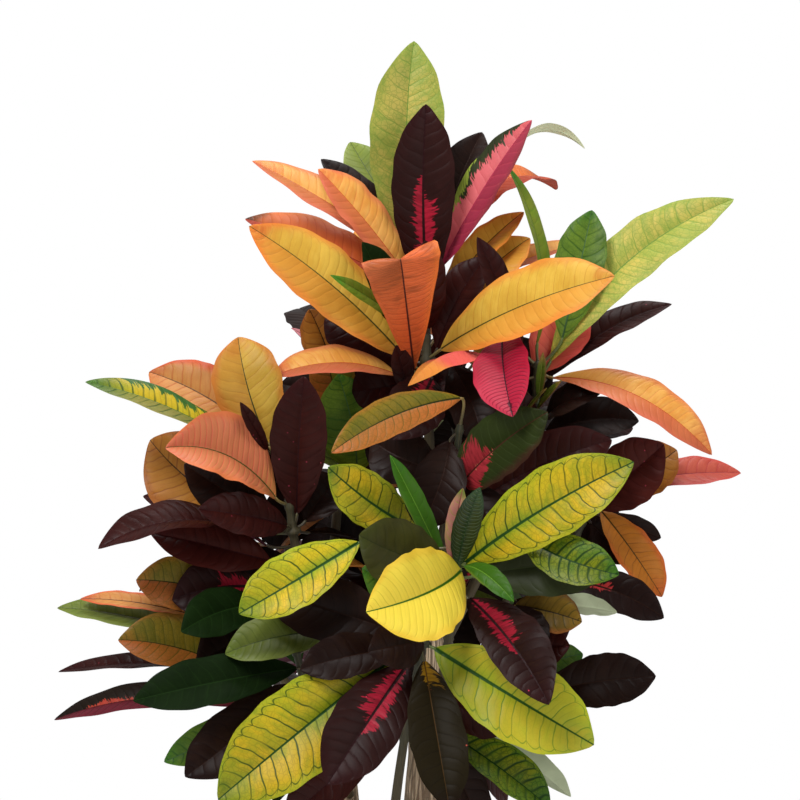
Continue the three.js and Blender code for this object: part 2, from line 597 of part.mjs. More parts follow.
// A leaf that a rule places: round the stem by the golden angle, away from the viewer on front shoots
function ruleLeaf(name, index, random) {
  const { route, rule, reach } = SHOOTS[name];
  const frontShoot = !name.startsWith("shoot_back");
  const spread = (width) => width * (random() - 0.5);
  const between = ([first, more], share) => first + more * share;
  const share = between(RULE_SHARE, (index + 0.5) / rule);
  let azimuth = (index * GOLDEN_ANGLE + RULE_TURN + spread(RULE_SWAY)) % 360;
  if (frontShoot) {
    azimuth = BACK_ARC[0] + azimuth % BACK_ARC[1];
  }
  const lift = (between(RULE_LIFT, share * share) + spread(RULE_LIFT_SPREAD)) * RADIANS;
  const out = new THREE.Vector3(
    Math.cos(azimuth * RADIANS) * Math.cos(lift),
    Math.sin(azimuth * RADIANS) * Math.cos(lift),
    Math.sin(lift),
  );
  const length = reach * between(RULE_LENGTH, random());
  const root = stemPoint(route, share);
  const base = root.clone().addScaledVector(out, RULE_PETIOLE).addScaledVector(UP, RULE_RAISE);
  const tip = base.clone().addScaledVector(out, length);
  const level = new THREE.Vector3().crossVectors(out, UP).normalize();
  const normal = new THREE.Vector3().crossVectors(level, out).normalize();
  const roll = spread(RULE_ROLL) * RADIANS;
  const side = level.clone().multiplyScalar(Math.cos(roll)).addScaledVector(normal, Math.sin(roll));
  const bulge = new THREE.Vector3().crossVectors(side, out).normalize();
  const control = base.clone().add(tip).multiplyScalar(0.5).addScaledVector(bulge, length * RULE_ARCH);
  const kinds = BACK_KINDS[routeAt(route, share)[1] < KIND_SPLIT ? 0 : 1];
  const kind = frontShoot && random() < RULE_BLACK ? "black" : kinds[Math.floor(random() * kinds.length)];
  const width = length * between(RULE_WIDTH, random());
  return { kind, root, base, control, tip, side, width, twist: spread(TWIST), fold: FOLD_DEG };
}

const placed = []; // every solid that later leaves keep clear of

function meets(solid, other) {
  const [a, b] = [solid.boundingBox(), other.boundingBox()];
  const apart = [0, 1, 2].some((axis) => a.min[axis] > b.max[axis] || b.min[axis] > a.max[axis]);
  return !apart && !solid.intersect(other).isEmpty();
}

function isClear(leaf, shootName) {
  const whole = leafSolid(leaf, CLEARANCE, 0);
  const outer = leafSolid(leaf, CLEARANCE, FREE_FROM);
  return placed.every(({ solid, outerSolid, owner }) => (
    owner === shootName ? !meets(outer, outerSolid) : !meets(whole, solid)
  ));
}

const leavesOf = Object.fromEntries(Object.keys(SHOOTS).map((name) => [name, []]));

function keep(leaf, shootName) {
  leavesOf[shootName].push(leaf);
  placed.push({
    solid: leafSolid(leaf, 0, 0),
    outerSolid: leafSolid(leaf, 0, FREE_FROM),
    owner: shootName,
  });
}

const trunkSolids = {};
const stemSolids = {};
for (const [name, trunk] of Object.entries(TRUNKS)) {
  trunkSolids[name] = stemSolid(trunk, TRUNK_SIDES, TRUNK_STEPS, TRUNK_TAPER, 0);
  placed.push({ solid: trunkSolids[name], outerSolid: trunkSolids[name], owner: name });
}
for (const [name, shoot] of Object.entries(SHOOTS)) {
  stemSolids[name] = stemSolid(shoot, SHOOT_SIDES, SHOOT_STEPS, 1, 0);
  placed.push({ solid: stemSolids[name], outerSolid: stemSolids[name], owner: name });
}

Object.entries(SHOOTS).forEach(([name, shoot], shootIndex) => {
  shoot.leaves.forEach((row, index) => {
    const leafAt = (step) => placedLeaf(shoot.route, row, makeRandom(shootIndex * 1000 + index + 1), step);
    const shift = DEPTH_STEPS.find((step) => isClear(leafAt(step), name));
    if (shift !== undefined) {
      keep(leafAt(shift), name);
    }
  });
});
Object.entries(SHOOTS).forEach(([name, shoot], shootIndex) => {
  for (let index = 0; index < shoot.rule; index += 1) {
    const random = makeRandom(shootIndex * 1000 + 500 + index);
    for (let attempt = 0; attempt < RULE_TRIES; attempt += 1) {
      const leaf = ruleLeaf(name, index, random);
      if (insideOutline(leaf.tip) && isClear(leaf, name)) {
        keep(leaf, name);
        break;
      }
    }
  }
});

// Pot, soil and trunks

function turned(profile, sides) {
  const points = profile.map(([radius, height]) => new THREE.Vector2(radius, height));
  const lathe = new THREE.LatheGeometry(points, sides).rotateX(Math.PI / 2);
  lathe.deleteAttribute("normal");
  lathe.deleteAttribute("uv");
  const merged = mergeVertices(lathe, 1e-4);
  const { array } = merged.getAttribute("position");
  return new wasm.Manifold(new wasm.Mesh({
    numProp: 3,
    vertProperties: new Float32Array(array),
    triVerts: new Uint32Array(merged.index.array),
  }));
}

function innerRadiusAt(height) {
  return POT_BASE_RADIUS - POT_WALL + (POT_TOP_RADIUS - POT_BASE_RADIUS) * height / POT_HEIGHT;
}

function potSolid() {
  const rimFoot = POT_HEIGHT - RIM_HEIGHT;
  const outerAtRim = innerRadiusAt(rimFoot) + POT_WALL;
  const rimRadius = POT_TOP_RADIUS + RIM_OVERHANG;
  const pot = turned([
    [0, 0], [POT_BASE_RADIUS - RIM_ROUNDING, 0], [POT_BASE_RADIUS, RIM_ROUNDING],
    [outerAtRim, rimFoot], [rimRadius - RIM_CHAMFER, rimFoot + RIM_CHAMFER],
    [rimRadius, POT_HEIGHT - RIM_ROUNDING],
    [rimRadius - RIM_ROUNDING, POT_HEIGHT], [innerRadiusAt(POT_HEIGHT) + RIM_CHAMFER, POT_HEIGHT],
    [innerRadiusAt(POT_HEIGHT), POT_HEIGHT - RIM_CHAMFER],
    [innerRadiusAt(POT_FLOOR), POT_FLOOR], [0, POT_FLOOR],
  ], TURNED_SIDES);
  const drains = Array.from({ length: DRAIN_HOLES }, (_, hole) => {
    const angle = hole * 2 * Math.PI / DRAIN_HOLES;
    const depth = POT_FLOOR + 2;
    return turned([[0, -1], [DRAIN_RADIUS, -1], [DRAIN_RADIUS, depth], [0, depth]], DRAIN_SIDES)
      .translate([DRAIN_CIRCLE * Math.cos(angle), DRAIN_CIRCLE * Math.sin(angle), 0]);
  });
  return pot.subtract(wasm.Manifold.union(drains));
}

function soilSolid() {
  const foot = POT_FLOOR + FIT;
  const soil = turned([
    [0, foot], [innerRadiusAt(foot) - FIT, foot], [innerRadiusAt(SOIL_TOP) - FIT, SOIL_TOP],
    [innerRadiusAt(SOIL_TOP) * SOIL_SHOULDER[0], SOIL_TOP + SOIL_MOUND * SOIL_SHOULDER[1]],
    [0, SOIL_TOP + SOIL_MOUND],
  ], TURNED_SIDES);
  const holes = Object.values(TRUNKS).map((trunk) => (
    stemSolid(trunk, TRUNK_SIDES, TRUNK_STEPS, TRUNK_TAPER, FIT)));
  holes.push(stemSolid(SHOOTS.shoot_bottom, SHOOT_SIDES, SHOOT_STEPS, 1, FIT));
  return largestBody(soil.subtract(wasm.Manifold.union(holes)));
}

const trunkRoom = wasm.Manifold.union(Object.values(TRUNKS).map((trunk) => (
  stemSolid(trunk, TRUNK_SIDES, TRUNK_STEPS, TRUNK_TAPER, FIT))));

function shootSolid(name) {
  const blades = leavesOf[name].map((leaf) => leafSolid(leaf, 0, 0));
  const whole = wasm.Manifold.union([stemSolids[name], ...blades]);
  return largestBody(whole.subtract(trunkRoom)).asOriginal().simplify(SCRAP);
}

const croton = new THREE.Group();

function addPiece(name, solid, color, roughness) {
  const material = new THREE.MeshStandardMaterial({ color, roughness, metalness: 0 });
  const piece = new THREE.Mesh(geometryOf(solid), material);
  piece.name = name;
  croton.add(piece);
}

addPiece("pot", potSolid(), 0x2b2c2d, 0.6);
addPiece("soil", soilSolid(), 0x33261c, 1);
for (const [name, solid] of Object.entries(trunkSolids)) {
  addPiece(name, solid, 0x8a7460, 0.9);
}
for (const [name, { colour }] of Object.entries(SHOOTS)) {
  addPiece(name, shootSolid(name), colour, 0.4);
}

export default croton;
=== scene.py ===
"""Looks for a potted croton: fine leaves, stems, bark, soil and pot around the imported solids.

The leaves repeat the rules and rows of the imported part, in its millimetres and its front-view pixels,
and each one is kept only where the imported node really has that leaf.
"""
import math

import bpy
import numpy as np
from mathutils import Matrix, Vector
from mathutils.kdtree import KDTree


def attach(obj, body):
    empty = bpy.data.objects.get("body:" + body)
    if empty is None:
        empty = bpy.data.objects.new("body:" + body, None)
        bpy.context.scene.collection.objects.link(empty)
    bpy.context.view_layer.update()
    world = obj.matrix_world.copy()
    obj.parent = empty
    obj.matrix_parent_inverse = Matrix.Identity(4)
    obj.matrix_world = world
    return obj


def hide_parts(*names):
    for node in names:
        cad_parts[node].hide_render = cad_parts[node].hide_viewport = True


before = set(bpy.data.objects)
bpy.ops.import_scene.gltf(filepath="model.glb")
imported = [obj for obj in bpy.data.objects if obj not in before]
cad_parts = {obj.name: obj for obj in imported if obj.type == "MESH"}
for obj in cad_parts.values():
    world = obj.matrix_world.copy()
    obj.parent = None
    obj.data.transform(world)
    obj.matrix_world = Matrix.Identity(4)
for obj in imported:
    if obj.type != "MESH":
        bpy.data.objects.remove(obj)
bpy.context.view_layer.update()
MM = 0.001

# The front view of the photograph: a long lens, level with the middle of the leaves
VIEW_SCALE = 0.9  # mm for each pixel, in the plane of the pot's axis
VIEW_MIDDLE = (400, 400)  # pixel
VIEW_HEIGHT = 690
VIEW_DISTANCE = 3200
LENS_MM = 160
SENSOR_MM = 36

# Pot and soil, as packed
POT_HEIGHT = 240
POT_BASE_RADIUS = 105
POT_TOP_RADIUS = 137
POT_WALL = 2.8
POT_FLOOR = 4
RIM_HEIGHT = 24
RIM_OVERHANG = 4
DRAIN_HOLES = 6
DRAIN_RADIUS = 7
DRAIN_CIRCLE = 74
SOIL_TOP = 212
SOIL_MOUND = 7
FIT = 0.3  # between the soil and the pot
TURNED_SIDES = 112

# Stems and leaves, as packed
TRUNK_TAPER = 1.4
PETIOLE_SHARE = 0.12
BASE_POWER = 0.85
TIP_POWER = 0.64
FOLD = math.radians(13)
TWIST = 0.5
TWIST_CENTRE = 0.4
BEND = 0.2
ROOTS = (0.3, 0.985)
ROOT_STEPS = 60
RANDOM = (1664525, 1013904223, 4294967296)  # factor, addend and range of the random draws
SHOOT_SEEDS = 1000  # for each shoot
RULE_SEED = 500  # added for the leaves that the rule places
TIP_TAPER = (0.8, 0.2, 0.4)  # a blade narrows from this share of its length, over this share, by this share
BLADE_THICKNESS = 1.0
MATCH = 0.3  # mm, between a leaf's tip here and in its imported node

# What the fine leaves add
BLADE_ROWS = 40
BLADE_COLUMNS = (0.045, 0.17, 0.36, 0.58, 0.8, 1.0)  # share of the half width
FINE_THICKNESS = 0.7
RIB_HEIGHT = 1.1
RIB_GROOVE = 0.35
HALF_CROWN = 0.05  # each half bulges by this share of its width
WAVE = 0.045  # the margin waves by this share of the half width
WAVES = (2.2, 4.2)  # waves along a blade, fewest and most
WAVE_POWER = 2.2  # waves fade from the margin to the midrib
SWELL = 0.02  # the outline swells and narrows by this share
SWELLS = 1.7  # swells for each wave
MARGIN_POWER = 6  # the blade keeps its thickness until near the margin
GROOVE_POWER = 0.5  # the groove and the midrib fade out towards the tip
RIB_POWER = 0.7
PETIOLE_RADII = (1.9, 1.35, 1.7)  # at the stem, in the middle and at the blade
PETIOLE_SIDES = 10
PETIOLE_STEPS = 8
PETIOLE_SAG = 0.07
PETIOLE_BOW = (0.4, 0.25)  # how far it heads on from the stem and back from the blade, as shares
PETIOLE_INTO_BLADE = 2
PETIOLE_END = 0.6
TUBE_ENDS = (0.4, 0.6)  # how far a tube's closed ends bulge, as shares of its radius
STEM_SIDES = 18
STEM_STEPS = 90
NODE_SWELLING = (0.9, 0.008)  # mm, and share of the stem's length
TRUNK_SIDES = 48
TRUNK_STEPS = 180

# Veins, in mm on the blade
LEAF_RELIEF = 0.0005  # metres
VEIN_SLANT = 0.42
VEIN_CURL = 7
VEIN_LOOP = (0.78, 0.11)  # where side veins meet, as shares of the half width

# Each stem is a cubic curve: four points of [x pixel, y pixel, depth], and its first and last radius.
# A leaf is [kind, base pixel, tip pixel, depth, width, roll in degrees, arch] and may add its own bend,
# via point, twist, fold in degrees, or tone: 0 is a leaf's darkest usual tone and 1 its lightest. A tone
# given
# here is painted light and shade: above 1 it lightens a leaf that lies in shade, and below 0 it paints shade
# onto a leaf.
# A shoot's "rule" is how many leaves a rule adds, and "reach" is about how long those are
TRUNKS = {
    "trunk_centre": {"route": [[425, 1018, 10], [424, 860, 8], [432, 740, 0], [432, 575, 0]],
        "radii": [30, 8]},
    "trunk_left": {"route": [[352, 1016, -6], [349, 860, -6], [350, 760, 6], [330, 655, 10]],
        "radii": [14, 7]},
    "trunk_back": {"route": [[470, 1012, 70], [470, 820, 70], [476, 720, 85], [480, 650, 95]],
        "radii": [14, 6.5]},
}

SHOOTS = {
  "shoot_top": {
    "route": [[432, 590, 0], [432, 480, 5], [426, 380, 0], [424, 258, 0]],
    "radii": [6, 3], "rule": 5, "reach": 185,
    "leaves": [
      ["maroon_red", [427, 292], [426, 104], -25, 58, 0, 10, {"tone": 1.6}],
      ["golden", [405, 358], [249, 226], -55, 60, 15, 12, {"bend": 6}],
      ["orange_red", [414, 372], [404, 306], -50, 70, 0, 0,
       {"via": [401, 263, -95], "twist": 0, "tone": 1.8}],
      ["golden", [440, 350], [615, 276], -105, 68, 30, 18],
      ["lime", [418, 276], [414, 41], 20, 70, 4, 10, {"bend": -9}],
      ["pink_mottled", [441, 268], [532, 120], -15, 50, 44, 8],
      ["orange", [414, 288], [318, 169], -30, 52, 48, 14],
      ["orange", [404, 256], [252, 161], 10, 50, 52, 14],
      ["ember", [400, 285], [245, 219], 25, 56, 48, 20],
      ["olive", [420, 258], [350, 142], 60, 50, 20, 12, {"tone": 3}],
      ["black", [410, 258], [321, 159], 45, 40, 40, 14],
      ["black", [432, 262], [482, 132], 45, 48, 15, 8],
      ["ember", [462, 232], [556, 190], 35, 60, 56, 60],
      ["pale_under", [440, 262], [585, 149], 60, 20, 0, 0, {"via": [518, 142, 40], "tone": 2.5}],
      ["golden", [442, 302], [524, 212], 20, 38, 40, 12, {"tone": 1.5}],
      ["orange", [446, 306], [592, 244], 75, 42, 60, 22, {"tone": 2.5}],
      ["golden", [444, 318], [530, 238], 45, 48, 25, 10, {"tone": 1.5}],
      ["maroon", [437, 350], [486, 256], -20, 42, 25, 12],
      ["maroon", [428, 330], [425, 240], -45, 36, 15, 14],
      ["dark_green", [414, 345], [362, 242], -22, 40, 30, 10],
      ["light_green", [412, 330], [330, 275], -70, 16, 30, 12],
      ["orange", [399, 376], [270, 377], -30, 42, 52, 34],
      ["maroon", [404, 360], [325, 318], 25, 48, 15, 10],
      ["maroon_red", [432, 378], [392, 440], -75, 54, 5, 12],
      ["black", [452, 365], [484, 446], -45, 46, 10, 14],
      ["maroon", [405, 383], [352, 392], 10, 42, 15, 12],
      ["maroon", [408, 392], [396, 345], -34, 22, 20, 6],
      ["black", [440, 404], [500, 440], 20, 50, 20, 10],
      ["black", [424, 424], [372, 470], 25, 52, 20, 10],
      ["maroon", [432, 404], [456, 334], 45, 44, 5, 10],
      ["maroon", [418, 402], [380, 338], 30, 48, 10, 8],
    ],
  },
  "shoot_upper_right": {
    "route": [[432, 665, 0], [490, 560, 14], [536, 460, 8], [538, 362, -8]],
    "radii": [5.5, 3], "rule": 6, "reach": 175,
    "leaves": [
      ["crimson", [503, 334], [513, 417], -120, 56, -20, 12, {"twist": 0.1, "fold": 20}],
      ["orange", [552, 378], [712, 455], -40, 44, 40, 58],
      ["lime", [550, 362], [734, 199], 5, 56, 28, 14, {"bend": -20}],
      ["coral", [537, 374], [576, 305], 30, 54, 12, 10, {"tone": 2}],
      ["maroon", [545, 380], [672, 304], 10, 40, 50, 12, {"bend": -8}],
      ["coral_orange", [516, 378], [408, 386], -80, 50, 0, 0, {"via": [460, 352, -60]}],
      ["light_green", [537, 345], [506, 164], 5, 26, 60, 36],
      ["green_veined", [562, 340], [592, 210], 40, 48, 10, 8],
      ["maroon", [522, 350], [477, 237], -12, 28, 30, 6],
      ["black", [545, 418], [600, 394], -50, 42, 52, 16],
      ["black", [545, 432], [639, 421], -10, 48, 38, 22],
      ["maroon", [548, 446], [633, 428], 20, 42, 50, 18],
      ["young", [538, 400], [543, 352], -48, 9, 0, 6],
      ["young", [536, 412], [562, 380], -60, 7, 40, 6],
      ["young", [519, 424], [547, 388], -75, 6, 60, 4],
      ["maroon", [540, 440], [480, 400], -75, 50, 25, 16],
      ["black", [532, 416], [518, 336], 24, 50, 10, 8],
    ],
  },
  "shoot_mid": {
    "route": [[432, 615, 0], [436, 548, -40], [452, 500, -62], [460, 425, -68]],
    "radii": [5, 3], "rule": 4, "reach": 150,
    "leaves": [
      ["olive_red", [454, 494], [548, 412], -62, 54, 10, 10],
      ["golden_olive", [462, 398], [331, 453], -60, 36, 8, 14, {"bend": 8}],
      ["yellow_green", [417, 530], [328, 467], -45, 48, 12, 8],
      ["maroon", [480, 500], [612, 440], 10, 52, 15, 8],
      ["black", [450, 440], [420, 530], 15, 52, 10, 14],
      ["black", [440, 470], [372, 440], 10, 54, 10, 12],
      ["black", [462, 480], [500, 560], -30, 46, 20, 10],
    ],
  },
  "shoot_left": {
    "route": [[331, 668, 10], [300, 600, -10], [290, 530, -35], [284, 440, -45]],
    "radii": [5.5, 3], "rule": 5, "reach": 160,
    "leaves": [
      ["coral_peach", [276, 499], [165, 448], -70, 74, 36, 12, {"bend": 16, "fold": 28}],
      ["maroon", [297, 515], [304, 376], -25, 52, 4, 10],
      ["golden", [270, 448], [238, 337], 15, 64, 8, 16, {"bend": -5, "tone": -0.8}],
      ["peach", [262, 440], [149, 372], 35, 56, 18, 10, {"bend": 6}],
      ["green_tipped", [255, 460], [85, 382], -5, 38, 58, 26],
      ["maroon", [268, 546], [98, 549], -60, 56, 68, 54, {"tone": 1.2}],
      ["gold_brown", [262, 522], [150, 440], -25, 78, 8, 14, {"bend": -9, "tone": 1}],
      ["black", [272, 520], [184, 464], -45, 50, 10, 10],
      ["maroon", [288, 526], [198, 509], -70, 40, 20, 18, {"tone": 0.6}],
      ["maroon", [272, 562], [150, 533], -25, 52, 28, 10, {"tone": 6}],
      ["black", [305, 522], [340, 478], 20, 44, 15, 12],
      ["maroon", [268, 452], [240, 402], -46, 13, 10, 8],
      ["green_veined", [262, 532], [138, 517], 20, 32, 40, 8],
      ["maroon", [258, 528], [143, 496], 45, 32, 45, 8],
      ["black", [286, 500], [246, 436], 20, 44, 10, 8],
      ["black", [292, 562], [226, 582], 30, 50, 20, 10],
    ],
  },
  "shoot_left_back": {
    "route": [[334, 686, 9], [322, 560, 62], [350, 450, 80], [350, 345, 90]],
    "radii": [5.5, 3], "rule": 6, "reach": 165,
    "leaves": [
      ["green_veined", [357, 474], [338, 374], -60, 64, 5, 10, {"tone": 4}],
      ["gold_brown", [338, 392], [309, 309], -10, 44, 10, 8],
      ["maroon", [360, 380], [352, 305], -25, 50, 10, 8],
      ["pink", [336, 372], [291, 328], -10, 16, 60, 8],
      ["golden_olive", [338, 430], [322, 345], -35, 44, 10, 8],
      ["black", [330, 500], [262, 540], 0, 54, 20, 12],
      ["black", [338, 490], [385, 560], 10, 56, 10, 12],
      ["maroon", [352, 420], [404, 486], 15, 54, 10, 12],
      ["black", [345, 412], [280, 384], 10, 44, 20, 8],
    ],
  },
  "shoot_centre": {
    "route": [[431, 745, -5], [440, 690, -52], [456, 625, -108], [452, 545, -122]],
    "radii": [5.5, 3], "rule": 3, "reach": 120,
    "leaves": [
      ["yellow", [461, 570], [366, 612], -95, 80, 0, 26],
      ["yellow_green", [464, 564], [634, 462], -55, 64, 12, 16],
      ["maroon_red", [468, 598], [549, 705], -112, 58, 22, 14, {"fold": 24}],
      ["bright_green", [464, 566], [514, 602], -60, 20, 25, 20],
      ["bright_green", [446, 568], [390, 455], -15, 22, 30, 8],
      # This leaf's lighter grey-green is painted sheen
      ["green_painted_sheen", [476, 576], [610, 566], -20, 56, 10, 10],
      ["green_gold", [522, 536], [619, 575], -55, 44, 18, 10, {"bend": 6}],
      ["olive_dark", [444, 566], [359, 535], -25, 60, 5, 14],
      ["pink_green", [452, 566], [463, 488], -30, 18, 10, 6],
      ["green_streaked", [457, 568], [480, 487], -48, 24, 5, 6],
      ["green_veined", [438, 600], [362, 568], -30, 44, 10, 6],
      ["yellow_green", [360, 542], [239, 614], -30, 54, 22, 16],
    ],
  },
  "shoot_bottom": {
    "route": [[383, 1010, -36], [384, 850, -36], [402, 735, -85], [424, 640, -135]],
    "radii": [5.5, 3], "rule": 4, "reach": 150,
    "leaves": [
      ["yellow_green", [396, 656], [218, 800], -50, 80, 8, 14],
      ["lime_yellow", [434, 648], [594, 745], -45, 74, 5, 14],
      ["maroon_red", [408, 664], [327, 785], -70, 62, 5, 16],
      ["dark_gold", [424, 660], [450, 812], -85, 50, 5, 16],
      ["black", [400, 650], [300, 670], -25, 42, 25, 16],
      ["black", [424, 642], [368, 652], -45, 44, 10, 10],
      ["black", [408, 636], [268, 592], 5, 60, 8, 12],
      ["green_gold", [446, 732], [550, 808], -25, 46, 30, 12, {"fold": 28}],
      ["black", [436, 725], [484, 832], 10, 40, 10, 8],
      ["pale_under", [452, 722], [571, 797], 15, 40, 130, 12, {"tone": -0.5}],
      ["maroon", [446, 730], [507, 803], 40, 30, 40, 16],
      ["maroon", [432, 690], [500, 735], 0, 42, 30, 10],
      ["maroon", [384, 742], [285, 822], 25, 44, 20, 12],
    ],
  },
  "shoot_left_low": {
    "route": [[347, 772, -2], [312, 722, -16], [268, 670, -25], [240, 585, -30]],
    "radii": [5, 3], "rule": 5, "reach": 150,
    "leaves": [
      ["golden_olive", [236, 672], [118, 640], -25, 60, 30, 10, {"fold": 26, "tone": -0.8}],
      ["golden_olive", [238, 602], [136, 580], -10, 50, 12, 10, {"tone": -0.5}],
      ["maroon_red", [262, 588], [172, 600], -35, 52, 12, 10],
      ["dark_green", [262, 606], [181, 632], -50, 46, 22, 14],
      ["olive", [222, 646], [57, 608], 5, 42, 56, 12],
      ["peach", [200, 618], [80, 599], 50, 24, 56, 8],
      ["maroon", [236, 672], [58, 672], 25, 32, 70, 14],
      ["black", [270, 640], [196, 664], -40, 52, 15, 12],
    ],
  },
  "shoot_right_low": {
    "route": [[428, 792, 4], [480, 732, 14], [525, 665, 0], [548, 580, -15]],
    "radii": [5, 3], "rule": 5, "reach": 150,
    "leaves": [
      ["black", [540, 692], [656, 676], -10, 50, 10, 10],
      ["dark_spotted", [562, 580], [664, 618], -20, 38, 18, 14, {"bend": -5}],
      ["brown_dark", [514, 606], [582, 622], -30, 40, 15, 10, {"tone": 1.5}],
      ["pale_under", [540, 606], [617, 612], -42, 30, 135, 8],
      ["maroon", [522, 652], [570, 646], -20, 38, 20, 8],
      ["green_veined", [525, 672], [583, 654], 10, 28, 20, 8],
      ["black", [500, 610], [540, 660], -20, 50, 10, 10],
    ],
  },
  "shoot_right_mid": {
    "route": [[432, 715, 0], [505, 640, 46], [572, 565, 62], [598, 485, 50]],
    "radii": [5.5, 3], "rule": 5, "reach": 165,
    "leaves": [
      ["orange_brown", [600, 510], [662, 597], -15, 44, 30, 14],
      ["maroon", [588, 505], [664, 444], -40, 60, 8, 14, {"tone": 7}],
      ["coral", [620, 484], [741, 473], 15, 38, 45, 14],
      ["gold_brown", [612, 492], [677, 450], -5, 50, 12, 12],
      ["black", [590, 522], [629, 563], -15, 30, 15, 8],
      ["black", [600, 515], [661, 538], 15, 22, 20, 8],
      ["black", [575, 530], [520, 470], -20, 52, 15, 10],
      ["black", [576, 566], [604, 494], 20, 46, 10, 8],
    ],
  },
  "shoot_front_left": {
    "route": [[349, 795, -5], [330, 742, -50], [305, 700, -85], [292, 632, -100]],
    "radii": [5, 3], "rule": 3, "reach": 130,
    "leaves": [
      ["dark_green", [298, 668], [133, 701], -40, 50, 30, 24, {"tone": -0.8}],
      ["olive", [334, 632], [225, 654], -20, 44, 25, 14, {"bend": 3}],
      ["black", [294, 684], [185, 777], -35, 54, 12, 14],
      ["red_edged", [276, 710], [54, 720], 30, 38, 56, 44],
      ["green_veined", [286, 700], [164, 762], 5, 36, 15, 8],
      ["black", [320, 640], [350, 580], -20, 54, 10, 10],
    ],
  },
  "shoot_back_top": {
    "route": [[432, 632, 4], [445, 545, 55], [462, 430, 88], [462, 315, 96]],
    "radii": [5.5, 3], "rule": 20, "reach": 165,
    "leaves": [
      ["black", [455, 420], [410, 352], -20, 56, 10, 10],
      ["maroon", [468, 440], [430, 506], -20, 56, 10, 10],
      ["black", [455, 470], [366, 455], 0, 54, 15, 12],
      ["black", [470, 470], [545, 470], -10, 52, 15, 12],
    ],
  },
  "shoot_back_left": {
    "route": [[343, 724, 6], [308, 650, 80], [285, 560, 128], [280, 470, 138]],
    "radii": [5.5, 3], "rule": 20, "reach": 165, "leaves": [],
  },
  "shoot_back_right": {
    "route": [[480, 662, 94], [505, 600, 112], [535, 530, 128], [535, 435, 134]],
    "radii": [5.5, 3], "rule": 20, "reach": 165,
    "leaves": [
      ["black", [505, 600], [455, 560], -20, 54, 10, 10],
      ["maroon", [515, 600], [560, 650], -20, 54, 15, 10],
    ],
  },
  "shoot_back_low": {
    "route": [[473, 780, 76], [430, 735, 112], [400, 680, 138], [392, 600, 150]],
    "radii": [5.5, 3], "rule": 20, "reach": 165,
    "leaves": [
      ["black", [395, 640], [350, 556], -30, 56, 10, 10],
      ["maroon", [405, 650], [458, 586], -30, 56, 10, 10],
      ["black", [430, 700], [468, 606], -40, 56, 10, 10],
    ],
  },
  "shoot_back_centre": {
    "route": [[478, 700, 88], [440, 625, 135], [400, 540, 165], [385, 455, 172]],
    "radii": [5.5, 3], "rule": 20, "reach": 165, "leaves": [],
  },
}

# Rule leaves go round a stem by the golden angle. A pair holds a first value and how much is added to it
GOLDEN_ANGLE = 137.5
RULE_TRIES = 24
RULE_SHARE = (0.5, 0.48)
RULE_TURN = 60
RULE_SWAY = 50
BACK_ARC = (20, 140)
RULE_PETIOLE = 24
RULE_RAISE = 4
RULE_LIFT = (-70, 125)
RULE_LIFT_SPREAD = 40
RULE_LENGTH = (0.8, 0.25)
RULE_WIDTH = (0.27, 0.06)
RULE_ROLL = 70
RULE_ARCH = 0.17
RULE_BLACK = 0.6
BACK_KINDS = (
    ("golden", "orange", "lime", "maroon_red", "orange_red", "green_veined", "coral"),
    ("yellow_green", "maroon", "black", "gold_brown", "maroon_red", "dark_green", "olive"),
)
KIND_SPLIT = 470

# A leaf was packed nearer or further by one of these where it would have crossed another
DEPTH_STEPS = (0, -12, 12, -24, 24, -36, 36, -50, 50, -65, 65, -80, 80)

AWAY = np.array((0.0, 1.0, 0.0))
UP = np.array((0.0, 0.0, 1.0))


def unit(vector):
    return vector / np.linalg.norm(vector)


def units(rows):
    return rows / np.linalg.norm(rows, axis=1, keepdims=True)


def seen(pixel, depth):
    scale = VIEW_SCALE * (VIEW_DISTANCE + depth) / VIEW_DISTANCE
    across = (pixel[0] - VIEW_MIDDLE[0]) * scale
    return np.array((across, depth, VIEW_HEIGHT + (VIEW_MIDDLE[1] - pixel[1]) * scale))


def make_random(seed):
    state = seed

    def draw():
        nonlocal state
        state = (state * RANDOM[0] + RANDOM[1]) % RANDOM[2]
        return state / RANDOM[2]

    return draw


def route_at(route, share):
    """A point of a cubic curve."""
    rest = 1 - share
    weights = (rest ** 3, 3 * rest ** 2 * share, 3 * rest * share ** 2, share ** 3)
    return sum(weight * np.array(point, float) for weight, point in zip(weights, route))


def stem_point(route, share):
    at = route_at(route, share)
    return seen(at[:2], at[2])


# Where the leaves are


def nearest_share(route, pixel):
    shares = [ROOTS[0] + (ROOTS[1] - ROOTS[0]) * step / ROOT_STEPS for step in range(ROOT_STEPS + 1)]
    return min(shares, key=lambda share: float(((route_at(route, share)[:2] - pixel) ** 2).sum()))


